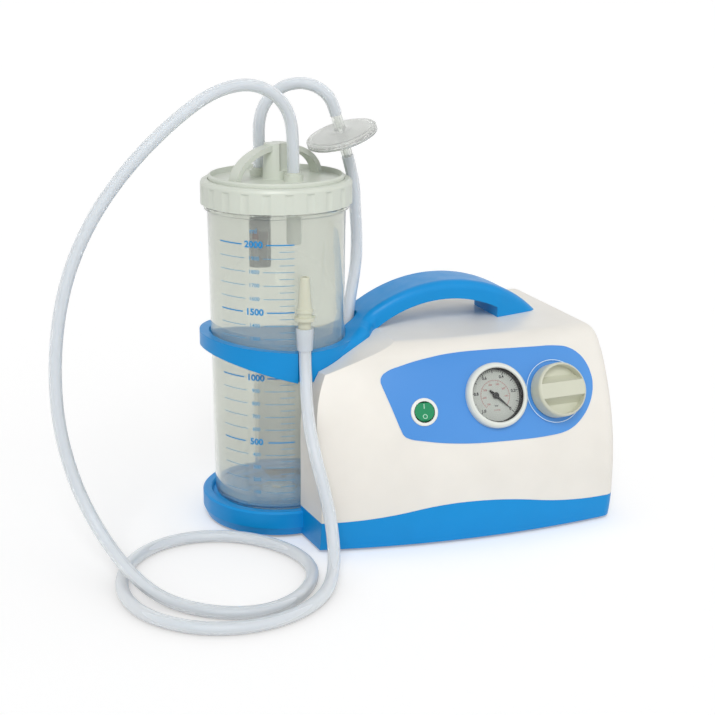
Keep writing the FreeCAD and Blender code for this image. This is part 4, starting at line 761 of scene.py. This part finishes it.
@dataclass
class Jar:
    """The clear jar with its volume scale.

    dimple and crown give (radius, rise) points of the floor's two sides, and heel and
    inner_heel give (inset, rise) points of the rounding where the wall meets it.
    """

    centre: Pair = (-0.100, 0.024)
    bottom: float = 0.020
    bottom_radius: float = 0.0545
    taper: float = 0.011
    wall: float = 0.0025
    floor: float = 0.003
    corner: float = 0.005
    flange: float = 0.268
    flange_radius: float = 0.0598
    flange_height: float = 0.003
    flange_rounding: float = 0.0005
    fillet: float = 0.0004
    shoulder: float = 0.001
    neck_radius: float = 0.057
    neck_wall: float = 0.0031
    rim: float = 0.281
    dimple: tuple[Pair, ...] = ((0.0, 0.0010), (0.0140, 0.0010), (0.0150, 0.0006), (0.0160, 0.0))
    heel: tuple[Pair, ...] = ((0.0050, 0.0), (0.0027, 0.0006), (0.0010, 0.0022))
    inner_heel: tuple[Pair, ...] = ((0.0012, 0.0018), (0.0045, 0.0))
    crown: tuple[Pair, ...] = ((0.006, 0.0), (0.0045, 0.0014), (0.0, 0.0015))
    flats: int = 160
    scale_zero: float = 0.0263
    scale_step: float = 0.01106
    scale_top: int = 20
    step_volume: int = 100
    major_every: int = 5
    major: Mark = Mark(0.0098, 0.0010, 0.0074, 0.035)
    minor: Mark = Mark(0.0075, 0.0004, 0.0044, 0.01)
    half_line: float = 0.0115
    half_line_width: float = 0.00034
    unit_step: float = 21.0
    unit_height: float = 0.0062
    text_angle: float = -126.4
    left_angle: float = -160.0
    right_angle: float = -93.3

    def outer_radius(self, height: float) -> float:
        """Return the outer radius of the wall at a height."""
        return self.bottom_radius + self.taper * (height - self.bottom)

    def build(self) -> None:
        """Turn the jar and print its scale."""
        low, inside = self.bottom, self.bottom + self.floor
        top, shoulder = self.flange + self.flange_height, self.flange - self.shoulder
        turn = self.flange_rounding
        outside = [
            *((radius, low + rise) for radius, rise in self.dimple),
            *((self.bottom_radius - inset, low + rise) for inset, rise in self.heel),
            (self.outer_radius(low + self.corner), low + self.corner),
            (self.outer_radius(shoulder), shoulder),
            (self.outer_radius(self.flange) + self.fillet, self.flange),
            (self.flange_radius - turn, self.flange), (self.flange_radius, self.flange + turn),
            (self.flange_radius, top - turn), (self.flange_radius - turn, top),
            (self.neck_radius, top), (self.neck_radius, self.rim)]
        foot = self.outer_radius(inside) - self.wall
        hollow = [
            (self.neck_radius - self.neck_wall, self.rim),
            (self.outer_radius(self.flange) - self.wall, shoulder),
            (self.outer_radius(inside + self.corner) - self.wall, inside + self.corner),
            *((foot - inset, inside + rise) for inset, rise in self.inner_heel),
            *((radius, inside + rise) for radius, rise in self.crown)]
        wall = lathe(outside + hollow, self.centre, self.flats)
        jar = settle("jar_wall", wall, "clear_jar", "unit")
        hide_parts("canister_jar")
        self.print_scale()

    def along(self, angle: float) -> float:
        """Return how far round the jar an angle in degrees lies, in metres."""
        return math.radians(angle) * self.bottom_radius

    def print_scale(self) -> None:
        """Print the strokes and numbers of the volume scale."""
        bold, fine = Print(), Print()
        left, middle, right = map(self.along, (self.left_angle, self.text_angle, self.right_angle))
        for step in range(1, self.scale_top + 1):
            height = self.scale_zero + step * self.scale_step
            major = step % self.major_every == 0
            mark, target = (self.major, bold) if major else (self.minor, fine)
            for start, end in ((left, middle - mark.gap), (middle + mark.gap, right)):
                place = Matrix.Translation(((start + end) / 2, height, 0))
                target.stroke(end - start, mark.line, place)
            place = Matrix.Translation((middle, height, 0))
            target.sign(str(step * self.step_volume), mark.height, place, mark.weight)
            between = height - self.scale_step / 2
            place = Matrix.Translation((right - self.half_line / 2, between, 0))
            fine.stroke(self.half_line, self.half_line_width, place)
        above = self.scale_zero + self.unit_step * self.scale_step
        fine.sign("ml", self.unit_height, Matrix.Translation((middle, above, 0)))
        bold.wrap("jar_scale_bold", self, "scale_blue", "unit")
        fine.wrap("jar_scale_fine", self, "scale_pale", "unit")


@dataclass
class Hose:
    """A soft hose along a route of given points, open inside."""

    name: str
    node: str
    route: Sequence[Point]
    length: float
    far_end: str
    with_nodes: tuple[str, ...] = ()
    lay: str = "loose"
    radius: float = 0.005
    bore: float = 0.0029

    def section(self) -> bpy.types.Object:
        """Draw the hose's cross section, a ring of two circles.

        Returns:
            The section.
        """
        curve = bpy.data.curves.new(self.name + "_section", "CURVE")
        for radius, way in ((self.radius, 1), (self.bore, -1)):
            circle = curve.splines.new("BEZIER")
            circle.bezier_points.add(3)
            circle.use_cyclic_u = True
            circle.resolution_u = 6
            for index, point in enumerate(circle.bezier_points):
                angle = way * index * math.pi / 2
                point.co = (radius * math.cos(angle), radius * math.sin(angle), 0)
                point.handle_left_type = point.handle_right_type = "AUTO"
        return bpy.data.objects.new(self.name + "_section", curve)

    def build(self) -> None:
        """Lay the hose on its route."""
        curve = bpy.data.curves.new(self.name, "CURVE")
        curve.dimensions = "3D"
        curve.resolution_u = 10
        curve.twist_mode = "MINIMUM"
        spline = curve.splines.new("NURBS")
        spline.points.add(len(self.route) - 1)
        for point, place in zip(spline.points, self.route):
            point.co = (*place, 1.0)
        spline.order_u = 3
        spline.use_endpoint_u = True
        curve.bevel_mode = "OBJECT"
        curve.bevel_object = self.section()
        hose = stand(self.name, curve)
        WARDROBE.dress(hose, "silicone")
        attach(hose, "unit")
        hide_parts(self.node)
        LOG.info("%s: %d route points", self.name, len(self.route))


def in_metres(points: Iterable[Point]) -> list[Point]:
    """Return points given in millimetres as metres."""
    return [(x / 1000, y / 1000, z / 1000) for x, y, z in points]


HOSES = (
    Hose("patient_line", "patient_hose", in_metres([
        (-91.076, 6.101, 299), (-91.076, 6.101, 324), (-94.5, 3, 346), (-108, -2, 363.5),
        (-132, -6.5, 373), (-163, -12, 367), (-197, -18, 345), (-232, -23, 314),
        (-262, -27, 277), (-284, -30, 232), (-295, -32, 179), (-296, -34.5, 124),
        (-287, -39, 77), (-275, -51, 45), (-265, -73, 28), (-256, -98, 18),
        (-244, -119, 9.5), (-228, -138, 5.2), (-204, -159, 5), (-174, -168, 5),
        (-147, -159, 5), (-126, -138, 5), (-114, -111, 5), (-116, -80, 5),
        (-132, -50, 5), (-157, -28, 5), (-187, -19, 5), (-217, -24, 5),
        (-242, -43, 5), (-258, -71, 5), (-264, -104, 5), (-259, -136, 5),
        (-242, -163, 5), (-215, -182, 5), (-181, -188, 5), (-148, -179, 5),
        (-121, -158, 5.5), (-105, -133, 10), (-98.5, -114, 24), (-98, -104, 44),
        (-101, -97, 66), (-104.5, -88, 88), (-104.5, -73, 107.5), (-101.5, -57.5, 124),
        (-98.3, -46, 139.5), (-97.6, -41.4, 154), (-97.6, -41.4, 168)]),
        1.4318, "connector", ("hose_cuff", "hose_connector")),
    Hose("filter_line_upper", "filter_hose_upper", in_metres([
        (-108.924, 41.899, 299), (-108.924, 41.899, 317), (-109.3, 41.8, 334),
        (-105.8, 41.1, 348.5), (-98, 38.9, 359), (-88.5, 35, 365.8), (-78.2, 30.2, 368.1),
        (-68.4, 25.3, 366.8), (-59.3, 22.1, 361.5), (-52.48, 20.95, 352.889),
        (-48.846, 22.1575, 342.046)]),
        0.1307, "fitting", ("filter_upper_shell", "filter_lower_shell", "filter_membrane")),
    Hose("filter_line_lower", "filter_hose_lower", in_metres([
        (-37.154, 26.0425, 307.154), (-30.202, 28.3525, 286.408), (-27.2, 33.5, 260),
        (-24.8, 35, 236.4), (-26.4, 32.6, 212.5), (-32.2, 28.2, 190), (-36.9, 24.6, 168),
        (-37.5, 24, 143), (-37.5, 24, 123)]), 0.1880, "object", (), "hanging"),
)


def panel(origin: Point, out: Point, right: Point, lift: float = 0.0) -> Matrix:
    """Return a frame on the control panel, X right, Y up the face and Z out.

    Args:
        origin: A place on the face, in metres.
        out: Direction out of the face.
        right: Direction to the right along the face.
        lift: Distance of the frame's origin in front of the place, in metres.

    Returns:
        The frame.
    """
    z = Vector(out).normalized()
    x = Vector(right).normalized()
    y = z.cross(x)
    place = Matrix((x, y, z)).transposed().to_4x4()
    place.translation = Vector(origin) + z * lift
    return place


@dataclass(frozen=True)
class Tick:
    """A stroke of a dial's scale."""

    length: float
    width: float


@dataclass(frozen=True)
class DialScale:
    """One scale of the dial: strokes inside a circle, numbers at some steps, and the unit."""

    name: str
    ink: str
    unit: str
    radius: float
    steps: int
    parts: int
    long: Tick
    short: Tick
    numbers: tuple[tuple[int, str], ...]
    number_radius: float
    number_height: float
    number_weight: float
    unit_place: float
    unit_height: float
    unit_weight: float = 0.0
    ring: float = 0.0


DIAL_SCALES = (
    DialScale("dial_scale_outer", "dial_black", "bar", radius=0.0212, steps=10, parts=5,
              long=Tick(0.0026, 0.0006), short=Tick(0.0014, 0.0003),
              numbers=((0, "0"), (2, "0.2"), (4, "0.4"), (6, "0.6"), (8, "0.8"), (10, "1.0")),
              number_radius=0.0168, number_height=0.0034, number_weight=0.035,
              unit_place=-0.0082, unit_height=0.0026, unit_weight=0.01),
    DialScale("dial_scale_inner", "dial_red", "mmHg", radius=0.0128, steps=7, parts=4,
              long=Tick(0.0016, 0.00026), short=Tick(0.0009, 0.00026),
              numbers=tuple((step, str(step * 100)) for step in range(1, 8)),
              number_radius=0.0096, number_height=0.0021, number_weight=0.02,
              unit_place=-0.0118, unit_height=0.0020, ring=0.0003),
)


@dataclass
class Gauge:
    """Print and lining of the vacuum gauge's dial."""

    origin: Point = (0.0537, -0.082383, 0.1209)
    out: Point = (-0.0218, -0.9142, 0.4048)
    right: Point = (0.9997, -0.0238, 0.0)
    dial_height: float = -0.0018
    print_lift: float = 0.00004
    start: float = -45.0
    sweep: float = 270.0
    window_radius: float = 0.0222
    lens_height: float = 0.0035
    sleeve_wall: float = 0.0008
    sleeve_play: float = 0.0001
    lip: Pair = (0.0004, 0.0006)
    flats: int = 96

    def line_well(self) -> None:
        """Turn the black sleeve that holds the dial down, with a chamfered upper lip."""
        low, high = self.dial_height + self.sleeve_play, self.lens_height - self.sleeve_play
        outside = self.window_radius
        inside = outside - self.sleeve_wall
        profile = [(inside, low), (outside, low), (outside, high), (inside + self.lip[0], high),
                   (inside, high - self.lip[1]), (inside, low)]
        sleeve = lathe(profile, (0.0, 0.0), self.flats)
        place = panel(self.origin, self.out, self.right)
        bmesh.ops.transform(sleeve, matrix=place, verts=sleeve.verts)
        settle("gauge_sleeve", sleeve, "needle_black", "unit")

    def angle(self, share: float) -> float:
        """Return the dial's angle for a share of its range, in degrees."""
        return self.start + self.sweep * share

    def spoke(self, share: float, radius: float) -> Matrix:
        """Return a frame at a share of the range and a radius, with X out from the middle."""
        turn = Matrix.Rotation(math.radians(self.angle(share)), 4, "Z")
        return turn @ Matrix.Translation((radius, 0, 0))

    def print_scale(self, scale: DialScale) -> None:
        """Print a scale on the dial.

        Args:
            scale: The scale.
        """
        marks = Print()
        if scale.ring:
            marks.band(scale.radius, scale.ring, self.angle(0), self.angle(1), Matrix.Identity(4))
        count = scale.steps * scale.parts
        for index in range(count + 1):
            tick = scale.short if index % scale.parts else scale.long
            place = self.spoke(index / count, scale.radius - tick.length / 2)
            marks.stroke(tick.length, tick.width, place)
        for step, number in scale.numbers:
            place = self.spoke(step / scale.steps, scale.number_radius).translation
            marks.sign(number, scale.number_height, Matrix.Translation(place), scale.number_weight)
        place = Matrix.Translation((0, scale.unit_place, 0))
        marks.sign(scale.unit, scale.unit_height, place, scale.unit_weight)
        surface = panel(self.origin, self.out, self.right, self.dial_height + self.print_lift)
        marks.lay(scale.name, surface, scale.ink, "unit")

    def build(self) -> None:
        """Line the well, then print the black outer scale and the red inner one."""
        self.line_well()
        for scale in DIAL_SCALES:
            self.print_scale(scale)


@dataclass
class ControlLabel:
    """The blue film on the cover's front, cut to its outline seen from the front."""

    corners: tuple[Pair, ...] = (
        (-0.0414, 0.1377), (-0.0403, 0.1405), (-0.0371, 0.1432), (-0.0215, 0.1479),
        (0.0068, 0.1527), (0.0250, 0.1542), (0.0491, 0.1545), (0.0928, 0.1532), (0.1202, 0.1518),
        (0.1289, 0.1497), (0.1368, 0.1450), (0.1427, 0.1375), (0.1458, 0.1276), (0.1458, 0.1201),
        (0.1434, 0.1117), (0.1379, 0.1022), (0.1314, 0.0953), (0.1229, 0.0893), (0.1132, 0.0860),
        (0.1023, 0.0849), (0.0579, 0.0850), (0.0173, 0.0868), (-0.0134, 0.0912), (-0.0250, 0.0940),
        (-0.0281, 0.0961), (-0.0299, 0.0997), (-0.0379, 0.1253), (-0.0409, 0.1342))
    gap: float = 0.00005
    thickness: float = 0.0004
    front: float = -0.04
    least_facing: float = 0.7

    def outline(self) -> list[Vector]:
        """Draw a smooth closed curve through the corners.

        Returns:
            The curve's points, kept convex.
        """
        curve = bpy.data.curves.new("label_outline", "CURVE")
        curve.dimensions = "3D"
        spline = curve.splines.new("BEZIER")
        spline.bezier_points.add(len(self.corners) - 1)
        for point, (x, z) in zip(spline.bezier_points, self.corners):
            point.co = (x, 0.0, z)
            point.handle_left_type = point.handle_right_type = "AUTO"
        spline.use_cyclic_u = True
        spline.resolution_u = 5
        holder = bpy.data.objects.new("label_outline", curve)
        mesh = bpy.data.meshes.new_from_object(holder)
        points = [vert.co.copy() for vert in mesh.vertices]
        bpy.data.objects.remove(holder)
        bpy.data.meshes.remove(mesh)
        return [points[index] for index in convex_hull_2d([(point.x, point.z) for point in points])]

    def build(self) -> None:
        """Cut the film out of a copy of the cover's front and give it its thickness."""
        film = bmesh.new()
        film.from_mesh(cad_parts["housing_cover"].data)
        bmesh.ops.remove_doubles(film, verts=film.verts, dist=WELD)
        film.normal_update()
        rest = [face for face in film.faces
                if face.normal.y > -self.least_facing or face.calc_center_median().y > self.front]
        bmesh.ops.delete(film, geom=rest, context="FACES")
        outline = self.outline()
        middle = sum(outline, Vector()) / len(outline)
        for start, end in zip(outline, outline[1:] + outline[:1]):
            side = end - start
            away = Vector((side.z, 0.0, -side.x))
            if away.dot(start - middle) < 0:
                away.negate()
            bmesh.ops.bisect_plane(film, geom=[*film.verts, *film.edges, *film.faces], dist=MERGE,
                                   plane_co=start, plane_no=away, clear_outer=True)
        film.normal_update()
        for vert in film.verts:
            vert.co += vert.normal * self.gap
        raised = bmesh.ops.extrude_face_region(film, geom=film.faces[:], use_keep_orig=True)["geom"]
        directions = [(vert, vert.normal.copy()) for vert in raised
                      if isinstance(vert, bmesh.types.BMVert)]
        for vert, direction in directions:
            vert.co += direction * self.thickness
        label = settle("control_label", film, "label_film", "unit")
        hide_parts("panel_label")


@dataclass
class Controls:
    """Marks round the knob and on the rocker."""

    knob: Point = (0.1075, -0.082379, 0.119)
    knob_out: Point = (0.0503, -0.9172, 0.3953)
    knob_right: Point = (0.9985, 0.0548, 0.0)
    line_radius: float = 0.0262
    line_width: float = 0.0006
    line_lift: float = 0.00068
    switch: Point = (-0.0096, -0.081168, 0.1132)
    switch_out: Point = (-0.1078, -0.9242, 0.3664)
    switch_right: Point = (0.9933, -0.1159, 0.0)
    pivot_depth: float = 0.0024
    ridge: float = 0.0012
    rest_tilt: float = 7.0
    sign_place: float = 0.0042
    sign_lift: float = 0.00005
    bar: Pair = (0.0007, 0.0040)
    circle: Pair = (0.0017, 0.0006)

    def half(self, side: int) -> Matrix:
        """Find the face of one half of the rocker.

        Args:
            side: 1 for the upper half, -1 for the lower one.

        Returns:
            The half's frame, with Z out of its face.
        """
        base = panel(self.switch, self.switch_out, self.switch_right)
        pivot = Matrix.Translation((0, 0, -self.pivot_depth))
        tilt = Matrix.Rotation(math.radians(-self.rest_tilt), 4, "X")
        slope = Matrix.Rotation(math.radians(side * self.rest_tilt), 4, "X")
        lift = Matrix.Translation((0, 0, self.ridge))
        return base @ pivot @ tilt @ pivot.inverted() @ lift @ slope

    def build(self) -> None:
        """Print the pale line round the knob and the signs on the rocker."""
        line, on, off = Print(), Print(), Print()
        line.band(self.line_radius, self.line_width, 0.0, FULL_TURN, Matrix.Identity(4))
        surface = panel(self.knob, self.knob_out, self.knob_right, self.line_lift)
        line.lay("knob_line", surface, "pale_line", "unit")
        on.stroke(*self.bar, Matrix.Translation((0, self.sign_place, self.sign_lift)))
        on.lay("rocker_sign_on", self.half(1), "rocker_white", "rocker")
        below = Matrix.Translation((0, -self.sign_place, self.sign_lift))
        off.band(*self.circle, 0.0, FULL_TURN, below)
        off.lay("rocker_sign_off", self.half(-1), "rocker_white", "rocker")


@dataclass(frozen=True)
class Sun:
    """A soft sun: its turn about X, Y and Z, in degrees, its strength and its spread."""

    name: str
    turn: Point
    energy: float
    spread: float


@dataclass
class Studio:
    """Camera, floor and lights."""

    camera_place: Point = (-0.4392, -1.0594, 0.4759)
    azimuth: float = -20.209
    elevation: float = 15.613
    roll: float = 0.282
    lens: float = 70.15
    sensor: float = 36.0
    shift: Pair = (0.01922, -0.03208)
    clip: Pair = (0.05, 200.0)
    floor_size: float = 60.0
    floor_colour: Colour = (0.86, 0.86, 0.86)
    floor_roughness: float = 0.95
    floor_lift: float = 0.265
    world_light: float = 0.55
    suns: tuple[Sun, ...] = (Sun("key", (40.0, -28.0, 6.0), 1.25, 25.0),
                             Sun("fill", (60.0, 40.0, 10.0), 0.35, 60.0))

    def camera(self) -> None:
        """Set the camera at the photograph's viewpoint."""
        side, rise = math.radians(self.azimuth), math.radians(self.elevation)
        back = Vector((math.sin(side) * math.cos(rise), -math.cos(side) * math.cos(rise),
                       math.sin(rise)))
        right = (-back).cross(Vector((0, 0, 1))).normalized()
        up = right.cross(-back)
        tilt = math.radians(self.roll)
        level_right = math.cos(tilt) * right + math.sin(tilt) * up
        level_up = -math.sin(tilt) * right + math.cos(tilt) * up
        data = bpy.data.cameras.new("camera")
        data.lens = self.lens
        data.sensor_width = self.sensor
        data.shift_x, data.shift_y = self.shift
        data.clip_start, data.clip_end = self.clip
        camera = stand("camera", data)
        turn = Matrix((level_right, level_up, back)).transposed().to_4x4()
        camera.matrix_world = Matrix.Translation(self.camera_place) @ turn
        bpy.context.scene.camera = camera

    def shine(self, sun: Sun) -> None:
        """Add a sun.

        Args:
            sun: The sun.
        """
        data = bpy.data.lights.new(sun.name, "SUN")
        data.energy = sun.energy
        data.angle = math.radians(sun.spread)
        stand(sun.name, data).rotation_euler = [math.radians(angle) for angle in sun.turn]

    def seen_rays(self, tree: bpy.types.NodeTree) -> Socket:
        """Tell the rays that show a surface from those that only light others.

        Args:
            tree: Node tree of a material or the world.

        Returns:
            A socket that is 1 for camera, glossy and transmitted rays.
        """
        path = tree.nodes.new("ShaderNodeLightPath")
        total = path.outputs["Is Camera Ray"]
        for name in ("Is Glossy Ray", "Is Transmission Ray"):
            larger = tree.nodes.new("ShaderNodeMath")
            larger.operation = "MAXIMUM"
            tree.links.new(total, larger.inputs[0])
            tree.links.new(path.outputs[name], larger.inputs[1])
            total = larger.outputs["Value"]
        return total

    def floor(self) -> None:
        """Lay a plain pale floor that keeps the shadow."""
        shape = bmesh.new()
        bmesh.ops.create_grid(shape, x_segments=1, y_segments=1, size=self.floor_size / 2)
        mesh = bpy.data.meshes.new("floor")
        shape.to_mesh(mesh)
        shape.free()
        floor = stand("floor", mesh)
        shader = Shader("floor")
        shader.put(base_color=self.floor_colour, roughness=self.floor_roughness,
                   specular_ior_level=0.0, emission_color=(1.0, 1.0, 1.0))
        spread = shader.node("ShaderNodeMapRange")
        spread.inputs["To Max"].default_value = self.floor_lift
        shader.join(self.seen_rays(shader.tree), spread.inputs["Value"])
        shader.join(spread.outputs["Result"], shader.surface.inputs["Emission Strength"])
        floor.data.materials.append(shader.material)

    def sky(self) -> None:
        """Light the scene evenly, and show white behind it."""
        world = bpy.data.worlds.new("studio")
        world.use_nodes = True
        bpy.context.scene.world = world
        background = world.node_tree.nodes["Background"]
        background.inputs["Color"].default_value = (1.0, 1.0, 1.0, 1.0)
        spread = world.node_tree.nodes.new("ShaderNodeMapRange")
        spread.inputs["To Min"].default_value = self.world_light
        spread.inputs["To Max"].default_value = 1.0
        world.node_tree.links.new(self.seen_rays(world.node_tree), spread.inputs["Value"])
        world.node_tree.links.new(spread.outputs["Result"], background.inputs["Strength"])

    def build(self) -> None:
        """Set up the camera, the floor and the lights."""
        self.camera()
        self.floor()
        self.sky()
        for sun in self.suns:
            self.shine(sun)
        bpy.context.scene.view_settings.view_transform = "Standard"


def dress_nodes() -> None:
    """Put its finish on every CAD node."""
    for name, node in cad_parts.items():
        WARDROBE.dress(node, NODE_FINISHES[name])
    LOG.info("%d CAD nodes dressed", len(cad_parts))


def main() -> None:
    """Build the studio, the hoses and the dressed unit."""
    logging.basicConfig(level=logging.INFO, format="%(message)s")
    Studio().build()
    for hose in HOSES:
        hose.build()
    dress_nodes()
    for assembly in (Jar(), ControlLabel(), Gauge(), Controls()):
        assembly.build()


if __name__ == "__main__":
    main()
